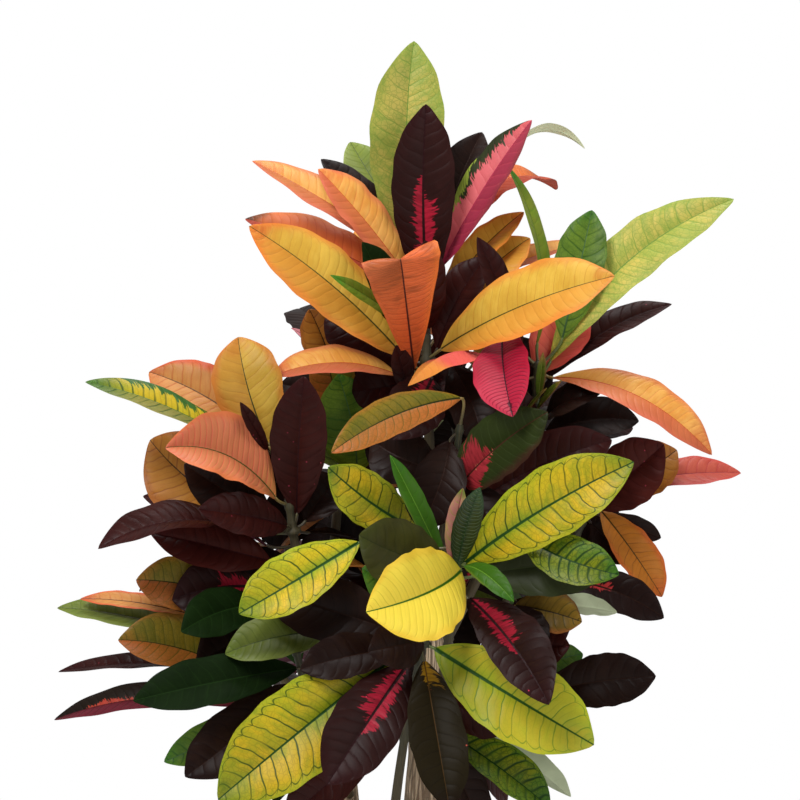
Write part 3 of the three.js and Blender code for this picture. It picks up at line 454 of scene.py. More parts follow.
def placed_leaf(route, row, random, shift):
    kind, base_pixel, tip_pixel, depth, width, roll_deg, arch = row[:7]
    more = row[7] if len(row) > 7 else {}
    base_pixel = np.array(base_pixel, float)
    tip_pixel = np.array(tip_pixel, float)
    share = nearest_share(route, base_pixel + PETIOLE_SHARE * (base_pixel - tip_pixel))
    root_depth = route_at(route, share)[2]
    tip = seen(tip_pixel, root_depth + depth + shift)
    base = seen(base_pixel, root_depth + (depth + shift) * PETIOLE_SHARE)
    chord = unit(tip - base)
    bend = more["bend"] if "bend" in more else BEND * width * (random() - 0.5)
    facing = unit(-AWAY + chord * AWAY.dot(chord))
    if "via" in more:
        via = seen(more["via"][:2], root_depth + more["via"][2] + shift)
        control = 2 * via - (base + tip) / 2
        side = unit(np.cross(control - base, tip - control))
        if np.cross(side, control - base).dot(AWAY) > 0:
            side = -side
    else:
        upward = np.cross(facing, chord) * (-1 if chord[0] < 0 else 1)
        roll = math.radians(roll_deg)
        normal = facing * math.cos(roll) + upward * math.sin(roll)
        side = unit(np.cross(chord, normal))
        control = (base + tip) / 2 + normal * arch + side * 2 * bend
    twist = more["twist"] if "twist" in more else TWIST * (random() - 0.5)
    fold = math.radians(more["fold"]) if "fold" in more else FOLD
    return {"kind": kind, "root": stem_point(route, share), "base": base, "control": control, "tip": tip,
            "side": side, "width": width, "twist": twist, "fold": fold, "tone": more.get("tone")}


def rule_leaf(name, index, random):
    shoot = SHOOTS[name]
    route = shoot["route"]
    front = not name.startswith("shoot_back")
    share = RULE_SHARE[0] + RULE_SHARE[1] * (index + 0.5) / shoot["rule"]
    azimuth = (index * GOLDEN_ANGLE + RULE_TURN + RULE_SWAY * (random() - 0.5)) % 360
    if front:
        azimuth = BACK_ARC[0] + azimuth % BACK_ARC[1]
    azimuth = math.radians(azimuth)
    lift = RULE_LIFT[0] + RULE_LIFT[1] * share * share + RULE_LIFT_SPREAD * (random() - 0.5)
    lift = math.radians(lift)
    out = np.array((math.cos(azimuth) * math.cos(lift), math.sin(azimuth) * math.cos(lift), math.sin(lift)))
    length = shoot["reach"] * (RULE_LENGTH[0] + RULE_LENGTH[1] * random())
    root = stem_point(route, share)
    base = root + out * RULE_PETIOLE + UP * RULE_RAISE
    tip = base + out * length
    level = unit(np.cross(out, UP))
    normal = unit(np.cross(level, out))
    roll = math.radians(RULE_ROLL * (random() - 0.5))
    side = level * math.cos(roll) + normal * math.sin(roll)
    control = (base + tip) / 2 + unit(np.cross(side, out)) * length * RULE_ARCH
    kinds = BACK_KINDS[0 if route_at(route, share)[1] < KIND_SPLIT else 1]
    if front and random() < RULE_BLACK:
        kind = "black"
    else:
        kind = kinds[int(random() * len(kinds))]
    width = length * (RULE_WIDTH[0] + RULE_WIDTH[1] * random())
    return {"kind": kind, "root": root, "base": base, "control": control, "tip": tip, "side": side,
            "width": width, "twist": TWIST * (random() - 0.5), "fold": FOLD, "tone": None}


def blade_frame(leaf, shares):
    """Points, sideways directions and upper-face normals of a blade, at an array of shares of its length."""
    s = np.asarray(shares, float)[:, None]
    base, control, tip, side = (leaf[key] for key in ("base", "control", "tip", "side"))
    points = (1 - s) ** 2 * base + 2 * (1 - s) * s * control + s * s * tip
    along = units((control - base) * (1 - s) + (tip - control) * s)
    flat = units(np.cross(side, along))
    turn = leaf["twist"] * (s - TWIST_CENTRE)
    across = side * np.cos(turn) + flat * np.sin(turn)
    normal = flat * np.cos(turn) - side * np.sin(turn)
    return points, across, normal


def packed_points(name):
    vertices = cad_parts[name].data.vertices
    tree = KDTree(len(vertices))
    for vertex in vertices:
        tree.insert(vertex.co, vertex.index)
    tree.balance()
    return tree


def is_packed(leaf, tree):
    point, _, normal = blade_frame(leaf, [1.0])
    ends = [(point[0] + normal[0] * rise) * MM for rise in (BLADE_THICKNESS / 2, -BLADE_THICKNESS / 2)]
    return all(tree.find(end)[2] < MATCH * MM for end in ends)


def leaves_of(name, shoot_index):
    shoot = SHOOTS[name]
    tree = packed_points(name)
    leaves = []
    for index, row in enumerate(shoot["leaves"]):
        for shift in DEPTH_STEPS:
            random = make_random(shoot_index * SHOOT_SEEDS + index + 1)
            leaf = placed_leaf(shoot["route"], row, random, shift)
            if is_packed(leaf, tree):
                leaves.append(leaf)
                break
    for index in range(shoot["rule"]):
        random = make_random(shoot_index * SHOOT_SEEDS + RULE_SEED + index)
        for _ in range(RULE_TRIES):
            leaf = rule_leaf(name, index, random)
            if is_packed(leaf, tree):
                leaves.append(leaf)
                break
    return leaves


# Meshes, gathered in millimetres


def new_object(name, data):
    item = bpy.data.objects.new(name, data)
    bpy.context.scene.collection.objects.link(item)
    return item


def fill(items, key, values, kind=np.float32):
    items.foreach_set(key, np.asarray(values, kind).ravel())


class Piece:
    """Vertices and faces of one object, with what its materials read at each face corner."""

    def __init__(self):
        self.points = []
        self.faces = []
        self.slots = []
        self.corners = {"blade": [], "flat": [], "leaf": []}
        self.map = []
        self.sharp = []
        self.materials = []

    def add_points(self, points):
        """Adds points and gives back the number of the first."""
        first = sum(len(rows) for rows in self.points)
        self.points.append(np.asarray(points, float).reshape(-1, 3))
        return first

    def add_faces(self, faces, material, blade, flat, leaf, place):
        """faces is rows of vertex numbers; the other arrays hold one row for each corner of each face."""
        if material not in self.materials:
            self.materials.append(material)
        self.faces.append(faces)
        self.slots.append(np.full(len(faces), self.materials.index(material)))
        for key, values in (("blade", blade), ("flat", flat), ("leaf", leaf)):
            self.corners[key].append(np.broadcast_to(values, (*faces.shape, 3)).reshape(-1, 3))
        self.map.append(np.broadcast_to(place, (*faces.shape, 2)).reshape(-1, 2))

    def build(self, name):
        mesh = bpy.data.meshes.new(name)
        points = np.concatenate(self.points) * MM
        corners = np.concatenate([faces.ravel() for faces in self.faces])
        sizes = np.concatenate([np.full(len(faces), faces.shape[1]) for faces in self.faces])
        mesh.vertices.add(len(points))
        mesh.loops.add(len(corners))
        mesh.polygons.add(len(sizes))
        fill(mesh.vertices, "co", points)
        fill(mesh.loops, "vertex_index", corners, np.int32)
        fill(mesh.polygons, "loop_start", np.cumsum(sizes) - sizes, np.int32)
        fill(mesh.polygons, "loop_total", sizes, np.int32)
        fill(mesh.polygons, "material_index", np.concatenate(self.slots), np.int32)
        fill(mesh.polygons, "use_smooth", np.ones(len(sizes)), bool)
        mesh.update(calc_edges=True)
        for key, rows in self.corners.items():
            fill(mesh.attributes.new(key, "FLOAT_VECTOR", "CORNER").data, "vector", np.concatenate(rows))
        fill(mesh.uv_layers.new(name="OFBake").data, "uv", np.concatenate(self.map))
        if self.sharp:
            rim = np.zeros(len(points), bool)
            rim[np.concatenate(self.sharp)] = True
            ends = np.empty(len(mesh.edges) * 2, np.int32)
            mesh.edges.foreach_get("vertices", ends)
            sharp = rim[ends.reshape(-1, 2)].all(axis=1)
            mesh.attributes.new("sharp_edge", "BOOLEAN", "EDGE").data.foreach_set("value", sharp)
        for material in self.materials:
            mesh.materials.append(material)
        return new_object(name, mesh)


def half_width(width, s):
    widest = BASE_POWER / (BASE_POWER + TIP_POWER)
    peak = widest ** BASE_POWER * (1 - widest) ** TIP_POWER
    late = np.clip((s - TIP_TAPER[0]) / TIP_TAPER[1], 0, 1)
    return 0.5 * width * s ** BASE_POWER * (1 - s) ** TIP_POWER / peak * (1 - TIP_TAPER[2] * late ** 2)


def add_tube(piece, points, radii, sides, material, cell, leaf=(0, 0, 0)):
    """A round tube with closed ends along points, with a radius for each ring or for each of its points."""
    ahead = units(np.gradient(points, axis=0))
    aside = units(np.cross(ahead, AWAY + 0.001))
    other = np.cross(ahead, aside)
    angles = np.arange(sides) * 2 * math.pi / sides
    ring = np.cos(angles)[None, :, None] * aside[:, None] + np.sin(angles)[None, :, None] * other[:, None]
    radii = radii.reshape(len(points), -1)
    first = piece.add_points(points[:, None] + ring * radii[..., None])
    ends = piece.add_points([points[0] - ahead[0] * radii[0].mean() * TUBE_ENDS[0],
                             points[-1] + ahead[-1] * radii[-1].mean() * TUBE_ENDS[1]])
    run = np.concatenate(([0], np.cumsum(np.linalg.norm(np.diff(points, axis=0), axis=1))))
    share = run / run[-1]
    row, side = np.meshgrid(np.arange(len(points) - 1), np.arange(sides), indexing="ij")
    row, side = row.ravel(), side.ravel()
    rows_at = np.stack((row, row, row + 1, row + 1), axis=1)[:, ::-1]
    sides_at = np.stack((side, side + 1, side + 1, side), axis=1)[:, ::-1]
    turn = sides_at / sides
    left, foot, wide, high = cell
    place = np.stack((left + wide * turn, foot + high * share[rows_at]), axis=2)
    around = np.stack((share[rows_at], turn, np.zeros_like(turn)), axis=2)
    spot = np.stack((run[rows_at] * MM, turn, np.zeros_like(turn)), axis=2)
    piece.add_faces(first + rows_at * sides + sides_at % sides, material, around, spot, leaf, place)
    here = np.arange(sides)
    after = (here + 1) % sides
    last = first + (len(points) - 1) * sides
    low = np.stack((np.full(sides, ends), first + here, first + after), axis=1)
    top = np.stack((np.full(sides, ends + 1), last + after, last + here), axis=1)
    piece.add_faces(low, material, (0, 0, 0), (0, 0, 0), leaf, (left, foot))
    piece.add_faces(top, material, (1, 0, 0), (run[-1] * MM, 0, 0), leaf, (left, foot + high))


def add_blade(piece, leaf, material, cells, random):
    """One closed blade: an upper and a lower face that meet in a sharp margin."""
    length = np.linalg.norm(leaf["control"] - leaf["base"]) + np.linalg.norm(leaf["tip"] - leaf["control"])
    steps = np.linspace(0, 1, BLADE_ROWS + 1)
    shares = (0.5 - 0.5 * np.cos(math.pi * steps)) * 0.5 + steps * 0.5
    inner = shares[1:-1]
    points, across, normal = blade_frame(leaf, inner)
    half = half_width(leaf["width"], inner)
    columns = np.array([-value for value in BLADE_COLUMNS[::-1]] + [0.0] + list(BLADE_COLUMNS))

    # Each half is folded up, bulges and waves in its own way
    phase = [random() * 2 * math.pi for _ in range(4)]
    waves = WAVES[0] + (WAVES[1] - WAVES[0]) * random()
    s = inner[:, None]
    wide_half = half[:, None]
    reach = np.abs(columns)[None, :]
    lean = np.where(columns < 0, phase[0], phase[1])[None, :]
    lag = np.where(columns < 0, phase[2], phase[3])
    swell = 1 + SWELL * np.sin(2 * math.pi * (waves * SWELLS * s) + lean)
    ripple = np.sin(2 * math.pi * waves * s + lean + lag)
    sideways = columns[None, :] * wide_half * math.cos(leaf["fold"]) * swell
    rise = reach * wide_half * math.sin(leaf["fold"])
    rise += HALF_CROWN * wide_half * 4 * reach * (1 - reach)
    rise += WAVE * wide_half * ripple * reach ** WAVE_POWER * np.sin(math.pi * s) ** 0.5
    thick = FINE_THICKNESS / 2 * (1 - reach ** MARGIN_POWER) * np.ones((len(inner), 1))
    groove = np.where(reach == 0, RIB_GROOVE * (1 - s) ** GROOVE_POWER, 0)
    rib = np.where(reach == 0, RIB_HEIGHT * (1 - s) ** RIB_POWER, 0)
    flat_points = points[:, None] + across[:, None] * sideways[..., None]
    upper = flat_points + normal[:, None] * (rise + thick - groove)[..., None]
    lower = flat_points + normal[:, None] * (rise - thick - rib)[..., None]

    rows, count = upper.shape[:2]
    above = piece.add_points(upper) + np.arange(rows * count).reshape(rows, count)
    below = above.copy()
    below[:, 1:-1] = piece.add_points(lower[:, 1:-1]) + np.arange(rows * (count - 2)).reshape(rows, count - 2)
    ends = piece.add_points([leaf["base"], leaf["tip"]])
    piece.sharp.append(np.concatenate((above[:, 0], above[:, -1], [ends, ends + 1])))
    # The half of the blade that faces the ground, where the material paints shade in its low colour
    low_half = -1.0 if leaf["side"][2] > 0 else 1.0
    # A leaf's own tone is random; a tone given in its row replaces it and paints light onto a leaf in shade,
    # and shade onto others
    usual_tone = random()
    tone = usual_tone if leaf["tone"] is None else leaf["tone"]
    seed = random()
    row, column = np.meshgrid(np.arange(rows - 1), np.arange(count - 1), indexing="ij")
    row, column = row.ravel(), column.ravel()
    strip = np.arange(count - 1)
    for face, vertices in enumerate((above, below)):
        left, foot, wide, high = cells[face]
        turned = slice(None) if face == 0 else slice(None, None, -1)

        def add(*corners):
            faces, along, columns_at, halves = (item[:, turned] for item in corners)
            blade = np.stack((along, columns_at, np.full_like(along, face)), axis=-1)
            flat = np.stack((along * length * MM, columns_at * halves * MM, np.full_like(along, seed * 10)),
                            axis=-1)
            place = np.stack((left + wide * (0.5 + 0.48 * columns_at * halves / (leaf["width"] / 2)),
                              foot + high * (0.02 + 0.96 * along)), axis=-1)
            piece.add_faces(faces, material, blade, flat, (seed, low_half, tone), place)

        rows_at = np.stack((row, row, row + 1, row + 1), axis=1)
        columns_at = np.stack((column, column + 1, column + 1, column), axis=1)
        add(vertices[rows_at, columns_at], inner[rows_at], columns[columns_at], half[rows_at])
        is_end = np.arange(3) == 0
        for end, at, along in ((ends, 0, 0.0), (ends + 1, rows - 1, 1.0)):
            pair = (strip + 1, strip) if at == 0 else (strip, strip + 1)
            picks = np.stack((strip, *pair), axis=1)
            add(np.where(is_end, end, vertices[at][picks]),
                np.where(is_end, along, np.full(picks.shape, inner[at])),
                np.where(is_end, 0.0, columns[picks]),
                np.where(is_end, 0.0, np.full(picks.shape, half[at])))


def add_petiole(piece, leaf, material, cell, seed):
    root, base = leaf["root"], leaf["base"]
    reach = np.linalg.norm(base - root)
    onward = unit(leaf["control"] - base)
    steps = np.linspace(0, 1, PETIOLE_STEPS + 1)[:, None]
    from_stem = root + unit(base - root) * PETIOLE_BOW[0] * reach - UP * PETIOLE_SAG * reach
    to_blade = base - onward * PETIOLE_BOW[1] * reach
    points = ((1 - steps) ** 3 * root + 3 * (1 - steps) ** 2 * steps * from_stem
              + 3 * (1 - steps) * steps ** 2 * to_blade + steps ** 3 * (base + onward * PETIOLE_INTO_BLADE))
    steps = steps[:, 0]
    thin, slim, full = PETIOLE_RADII
    radii = np.where(steps < 0.5, thin + (slim - thin) * np.clip(steps * 4, 0, 1),
                     slim + (full - slim) * np.clip(steps * 4 - 3, 0, 1))
    radii[-1] *= PETIOLE_END
    add_tube(piece, points, radii, PETIOLE_SIDES, material, cell, (seed, 0, 0))


# Materials


def linear(colour):
    """A colour given as 0xrrggbb, as the shader wants it."""
    parts = [(colour >> shift & 255) / 255 for shift in (16, 8, 0)]
    parts = [part / 12.92 if part <= 0.04045 else ((part + 0.055) / 1.055) ** 2.4 for part in parts]
    return (*parts, 1)


class Value:
    """What a node puts out, so that a material's sums are written like any others."""

    def __init__(self, paint, socket):
        self.paint = paint
        self.socket = socket

    def __add__(self, other):
        return self.paint.math("ADD", self, other)

    def __sub__(self, other):
        return self.paint.math("SUBTRACT", self, other)

    def __rsub__(self, other):
        return self.paint.math("SUBTRACT", other, self)

    def __mul__(self, other):
        return self.paint.math("MULTIPLY", self, other)

    def __truediv__(self, other):
        return self.paint.math("DIVIDE", self, other)

    def __pow__(self, other):
        return self.paint.math("POWER", self, other)

    def __abs__(self):
        return self.paint.math("ABSOLUTE", self)

    def step(self, low, high, start=0.0, end=1.0):
        """Goes smoothly from start to end as this value goes from low to high."""
        return self.paint.node("ShaderNodeMapRange", {0: self, 1: low, 2: high, 3: start, 4: end},
                               interpolation_type="SMOOTHSTEP")


class Paint:
    """One material and short ways to add its nodes. An input is a value, a number or a colour."""

    def __init__(self, name):
        self.material = bpy.data.materials.new(name)
        self.material.use_nodes = True
        self.tree = self.material.node_tree
        self.shader = self.tree.nodes["Principled BSDF"]

    def node(self, kind, inputs, output=0, **settings):
        """A new node with its settings and inputs made; gives back one of its outputs."""
        node = self.tree.nodes.new(kind)
        for key, setting in settings.items():
            setattr(node, key, setting)
        for key, item in inputs.items():
            self.join(item, node.inputs[key])
        return Value(self, node.outputs[output])

    def join(self, item, socket):
        if isinstance(item, Value):
            self.tree.links.new(item.socket, socket)
        elif isinstance(item, int) and socket.type == "RGBA":
            socket.default_value = linear(item)
        else:
            socket.default_value = item

    def math(self, operation, *items):
        return self.node("ShaderNodeMath", dict(enumerate(items)), operation=operation)

    def mix(self, share, first, second, blend="MIX"):
        return self.node("ShaderNodeMix", {0: share, 6: first, 7: second}, 2, data_type="RGBA",
                         blend_type=blend)

    def shaded(self, colour, shade):
        return self.mix(1.0, colour, self.vector(shade, shade, shade), "MULTIPLY")

    def parts(self, vector):
        first = self.node("ShaderNodeSeparateXYZ", {0: vector})
        return [Value(self, socket) for socket in first.socket.node.outputs]

    def read(self, name):
        """A vector that the mesh holds at its face corners, and its three parts."""
        vector = self.node("ShaderNodeAttribute", {}, "Vector", attribute_name=name)
        return vector, *self.parts(vector)

    def place(self):
        return self.node("ShaderNodeTexCoord", {}, "Object")

    def vector(self, *parts):
        return self.node("ShaderNodeCombineXYZ", dict(enumerate(parts)))

    def noise(self, vector, scale, detail=2.0, rough=0.5):
        return self.node("ShaderNodeTexNoise",
                         {"Vector": vector, "Scale": scale, "Detail": detail, "Roughness": rough})

    def cells(self, vector, scale, feature="F1"):
        return self.node("ShaderNodeTexVoronoi", {"Vector": vector, "Scale": scale}, "Distance",
                         feature=feature)

    def finish(self, colour, rough, height=None, depth=0.001):
        self.join(colour, self.shader.inputs["Base Color"])
        self.join(rough, self.shader.inputs["Roughness"])
        if height is not None:
            bump = self.node("ShaderNodeBump", {"Strength": 1.0, "Distance": depth, "Height": height})
            self.join(bump, self.shader.inputs["Normal"])
        return self.material


# How each kind of leaf is coloured: its colours are those of the blade, its base, its tip, the midrib, the
# veins and the underside. A tint is soft and a patch is streaky: both give where they start from (the
# midrib or the margin), a colour, how far they spread as a share of the half width, the shares of the
# length they lie between, how strong or full they are, and which half has them (1 low, -1 high, 0 both)
# low is painted shade on the half of the blade that faces the ground, which on some kinds also changes that
# half's hue, and low_share is how strongly it is laid on
LOOKS = {
    "golden": dict(
        colours=(0xd4a63c, 0xc89c38, 0xcc7030, 0x44441a, 0xb07026, 0xd98850), low=0xc06c28, low_share=0.55,
        rib_mm=1.7, gap=10.0, vein_mm=0.6, vein_share=0.42, mottle=0xe0bc50,
        tints=(("edge", 0xdc7830, 0.34, 0.1, 1.1, 0.7, 0), ("rib", 0xbc922e, 0.3, 0.0, 0.5, 0.4, 0)),
    ),
    "golden_olive": dict(
        colours=(0x84701a, 0x7c701a, 0xa06c28, 0x2c3008, 0x424a10, 0xbc6c40), low=0xb45c2c, low_share=0.9,
        rib_mm=1.8, gap=9.0, vein_mm=0.8, vein_share=0.75, mottle=0x505a16, mottle_share=0.6,
        net_share=0.35, tints=(("edge", 0xb0682a, 0.3, 0.0, 1.1, 0.5, 0),),
    ),
    "gold_brown": dict(
        colours=(0xa46a24, 0x945e1e, 0x945c22, 0x30200c, 0x6c3418, 0xb07040), rib_mm=2.0, gap=11.0,
        vein_share=0.65, vein_mm=1.1, mottle=0xa87634,
        tints=(("edge", 0x945022, 0.35, 0.0, 1.1, 0.6, 0), ("rib", 0x845422, 0.4, 0.0, 0.7, 0.4, 0)),
    ),
    "brown_dark": dict(
        colours=(0x5c4614, 0x5c4414, 0x7c5c1e, 0x221a08, 0x33300c, 0x8c6038), rib_mm=2.0, gap=9.0,
        vein_share=0.7, mottle=0x745a1a,
        tints=(("edge", 0x46201a, 0.4, 0.2, 1.1, 0.7, -1), ("edge", 0x905028, 0.3, 0.1, 1.1, 0.6, 1)),
    ),
    "orange": dict(
        colours=(0xce8c3c, 0xcc9440, 0xcc6c3c, 0xb04a26, 0xc86036, 0xd87450), low=0xac5038, low_share=0.85,
        rib_mm=1.4, gap=9.0, vein_mm=0.6, vein_share=0.4, mottle=0xdcac5c,
        tints=(("edge", 0xc06048, 0.4, 0.2, 1.1, 0.6, 0),),
    ),
    "orange_brown": dict(
        colours=(0xb87022, 0xb4722a, 0xb85420, 0x44300f, 0x744418, 0xb87038), rib_mm=1.8, gap=10.0,
        vein_mm=0.8, vein_share=0.7, mottle=0x985a1c, tints=(("edge", 0xcc6026, 0.35, 0.3, 1.1, 0.8, 0),),
    ),
    "orange_red": dict(
        colours=(0xc86034, 0xb85428, 0x5c301c, 0x461e18, 0x84321e, 0xcf5434), rib_mm=2.0, gap=8.0,
        vein_mm=0.7, mottle=0x6c3a20, mottle_share=0.6, mottle_level=0.53, net_share=0.2,
        tints=(("edge", 0xdc7630, 0.4, 0.0, 0.9, 0.5, -1), ("rib", 0x6c4424, 2.0, 0.3, 0.8, 0.6, 1)),
    ),
    "ember": dict(
        colours=(0xc86834, 0xb44034, 0x34281a, 0x8c3424, 0xa83c28, 0xcc5c40), low=0xb43c2c, rib_mm=1.4,
        gap=9.0, vein_share=0.4, tints=(("edge", 0xd88034, 0.4, 0.1, 0.9, 0.6, -1),),
    ),
    "red_edged": dict(
        colours=(0x1c120a, 0x3c1014, 0x180f0a, 0x3c1418, 0x120a06, 0x642434), low=0x6c1c2c, low_share=0.9,
        rib_mm=1.6, gap=9.0, gloss=0.1, tints=(("rib", 0x1e1009, 2.0, 0.92, 1.2, 0.9, 1),),
        patches=(("rib", 0xa83c2c, 0.6, 0.66, 0.8, 0.26, -1),),
    ),
    "peach": dict(
        colours=(0xb87c40, 0xbc7c38, 0xb04a2c, 0x543618, 0xa8562c, 0xd88c58), rib_mm=1.8, gap=9.5,
        vein_mm=1.1, mottle=0xc48c4c, tints=(("edge", 0xcc5030, 0.32, 0.2, 1.1, 0.85, 0),),
    ),
    "coral_peach": dict(
        colours=(0xc8784e, 0xb87c40, 0xc06848, 0x44461a, 0xd85248, 0xe08a60), rib_mm=2.0, gap=6.5,
        vein_share=0.5, loop_share=0.1, mottle=0xb45c48, mottle_share=0.4,
        tints=(("edge", 0xd06a38, 0.3, 0.2, 1.1, 0.7, 0), ("rib", 0xa86c40, 1.4, 0.0, 1.1, 0.7, 1)),
    ),
    "coral_orange": dict(
        colours=(0xc87c30, 0xb4383c, 0xdc8c30, 0xb04828, 0xc86036, 0xc04c44), rib_mm=1.2, gap=9.0,
        vein_mm=0.6, vein_share=0.3, under_tip=0xc88038, tints=(("rib", 0xb43c40, 3.0, -0.2, 0.5, 0.9, 0),),
    ),
    "coral": dict(
        colours=(0xb04a3c, 0xb05840, 0xb04a3c, 0x84242c, 0xa43038, 0xd86c58), rib_mm=1.6, gap=10.0,
        vein_mm=0.8, vein_share=0.55, mottle=0xbc5c46, tints=(("edge", 0xc84640, 0.4, 0.0, 1.1, 0.5, 0),),
    ),
    "pink": dict(
        colours=(0xc88088, 0xc47a80, 0xb06c70, 0x7c4048, 0xa05c64, 0xc88c90),
    ),
    "crimson": dict(
        colours=(0xa01830, 0x9c1c34, 0xa42038, 0x340c18, 0x5c1428, 0xc04058), gap=4.6, vein_mm=1.0,
        vein_share=0.75, loop_share=0.0, mottle=0xb02c44, gloss=0.1,
        patches=(("rib", 0x5c1828, 0.3, 0.9, 1.2, 0.3, 0),),
    ),
    "pink_mottled": dict(
        colours=(0xc45c60, 0xa02440, 0xc05458, 0x9c2a48, 0xbc444e, 0xc85c66), low=0x7c1a34, low_share=0.92,
        rib_mm=1.6, vein_share=0.3,
        tints=(("edge", 0x6c2c30, 0.4, 0.3, 1.1, 0.75, 1), ("rib", 0x7c1c36, 2.0, -0.2, 0.3, 0.6, 1),
               ("edge", 0x8c3038, 0.2, 0.3, 0.95, 0.7, -1)),
        patches=(("edge", 0x2a3018, 0.7, 0.42, 0.84, 0.4, -1),
                 ("edge", 0x869636, 0.4, 0.22, 0.42, 0.4, -1)),
    ),
    "yellow": dict(
        colours=(0xecd246, 0xdcc838, 0xeed448, 0x386a14, 0xb0a024, 0xe0cc50), rib_mm=3.0, gap=7.5,
        vein_share=0.45, vein_mm=0.6, loop_share=0.05, mottle=0xe4c240, mottle_share=0.4, net_share=0.04,
        tints=(("edge", 0xe4b02c, 0.25, 0.0, 1.1, 0.5, 0),),
    ),
    "yellow_green": dict(
        colours=(0xcaa81c, 0xb8ac20, 0x64781c, 0x1e4410, 0x22420c, 0xbcb850), rib_mm=3.4, gap=12.5,
        vein_share=0.95, vein_mm=1.15, loop_share=0.9, mottle=0x808c1a, mottle_share=0.65, net_share=0.22,
        under_vein=0x4c6428,
        tints=(("edge", 0x8a9c20, 0.3, 0.0, 1.1, 0.6, 0), ("rib", 0x78921a, 0.5, -0.2, 0.6, 0.8, 0),
               ("edge", 0x8ca01c, 1.1, 0.1, 0.7, 0.4, -1)),
        patches=(("rib", 0x2c5410, 0.9, 0.45, 0.8, 0.04, -1),),
    ),
    "green_tipped": dict(
        colours=(0xb49a1a, 0x949020, 0x3a5c1a, 0x4c6424, 0x26440f, 0x7c7c58), low=0x5c6238, low_share=0.85,
        rib_mm=1.6, gap=11.0, vein_share=0.95, vein_mm=1.5, mottle=0x93981c,
        tints=(("rib", 0x3c6420, 3.0, 0.86, 1.2, 0.9, 0),),
        patches=(("edge", 0x2e5a1c, 0.9, 0.3, 0.7, 0.3, -1),),
    ),
    "green_gold": dict(
        colours=(0x70780f, 0x7c8420, 0x2c5410, 0x163a0a, 0x14340a, 0x94a868), low=0x5c6c1c, low_share=0.4,
        gap=10.0, vein_share=0.95, vein_mm=2.0, loop_share=1.0, mottle=0x3c6418, mottle_share=0.75,
        mottle_level=0.48, net_share=0.5,
    ),
    "lime_yellow": dict(
        colours=(0xa6a324, 0x7c901c, 0x84982e, 0x244c10, 0x4e741a, 0xb8bc5c), rib_mm=4.0, gap=13.0,
        vein_share=0.85, loop_share=0.85, mottle=0xb09c26, mottle_share=0.6, under_vein=0x5c7c34,
        tints=(("edge", 0x98a824, 0.25, 0.0, 1.1, 0.5, 0), ("rib", 0x90a41e, 0.4, -0.2, 0.6, 0.6, 0)),
    ),
    # Lime's base colour is a warmer gold, painted lighter as well to lift the shade that the fold casts near
    # the base
    "lime": dict(
        colours=(0xb8a850, 0xd8b84c, 0x949a48, 0x648430, 0x6c8834, 0xb4bc88), rib_mm=1.7, vein_share=0.8,
        mottle=0x7c9038, mottle_share=0.7, net_share=0.6, under_vein=0xa0b070, rough=0.45,
        tints=(("edge", 0x84963a, 0.4, 0.0, 1.1, 0.45, 0),),
    ),
    "green_veined": dict(
        colours=(0x46621a, 0x68842c, 0x38661a, 0x3c5c34, 0x1c4410, 0x94a868), rib_mm=1.8, gap=10.0,
        vein_share=0.7, vein_mm=1.2, mottle=0x688224, mottle_share=0.55, mottle_level=0.54, net_share=0.35,
    ),
    "bright_green": dict(
        colours=(0x345a10, 0x3c6418, 0x2c5814, 0x5c8428, 0x346414, 0x6c9440), rib_mm=1.2, vein_share=0.4,
        rough=0.38, gloss=0.1, tints=(("edge", 0x80802c, 0.3, 0.0, 0.7, 0.4, 1),),
    ),
    "light_green": dict(
        colours=(0x647c20, 0x7c7828, 0x407c20, 0x4c7424, 0x4c6c1c, 0x7c9440), rib_mm=1.0, vein_share=0.4,
        mottle=0x78782a, rough=0.36,
    ),
    "green_streaked": dict(
        colours=(0x182c0e, 0x2c4416, 0x183812, 0x204020, 0x5c6c50, 0x4c6838), rib_mm=1.2, gap=4.2,
        loop_share=0.0, rough=0.32, gloss=0.3,
    ),
    "young": dict(
        colours=(0x5e701f, 0x3c5418, 0xa07c3c, 0x8c9040, 0x445414, 0x7c8038), rib_mm=1.0, rough=0.32,
        tints=(("edge", 0xa85850, 0.5, 0.2, 1.1, 0.5, 1),),
    ),
    "pink_green": dict(
        colours=(0xc88078, 0xbc5c62, 0x447420, 0x9c5450, 0x8ca034, 0xd8a898), mottle=0xa0a434,
        mottle_share=0.8,
    ),
    # A dark green leaf painted lighter and greyer all over: painted sheen where it faces up to the lights
    "green_painted_sheen": dict(
        colours=(0x2b301b, 0x2e331d, 0x272b18, 0x363f25, 0x343b22, 0x5c6448), rib_mm=1.4, vein_share=0.3,
        mottle=0x333a21, gloss=0.08, relief=0.8, rough=0.45,
    ),
    "dark_green": dict(
        colours=(0x12220a, 0x16280d, 0x10200a, 0x223a16, 0x223a16, 0x4c5c3c), rib_mm=1.4, vein_share=0.3,
        net_share=0.02, mottle=0x182a0e, gloss=0.03, relief=0.7, rough=0.55,
    ),
    "olive": dict(
        colours=(0x505a20, 0x54611e, 0x586824, 0x364218, 0x3e4e18, 0x7c8460), rib_mm=1.8, gap=8.0,
        vein_share=0.45, mottle=0x636c28, tints=(("edge", 0x7c883e, 0.4, 0.0, 1.1, 0.4, 1),),
    ),
    "olive_dark": dict(
        colours=(0x302f10, 0x383613, 0x32380f, 0x24290c, 0x262c0a, 0x6c7050), rib_mm=1.8, gap=9.0,
        vein_share=0.4, mottle=0x3c3c15, gloss=0.12, relief=0.6,
    ),
    "olive_red": dict(
        colours=(0x2b3512, 0x303a14, 0x232810, 0x4c241c, 0x3a4620, 0x6c5c50), rib_mm=1.6, gap=9.0,
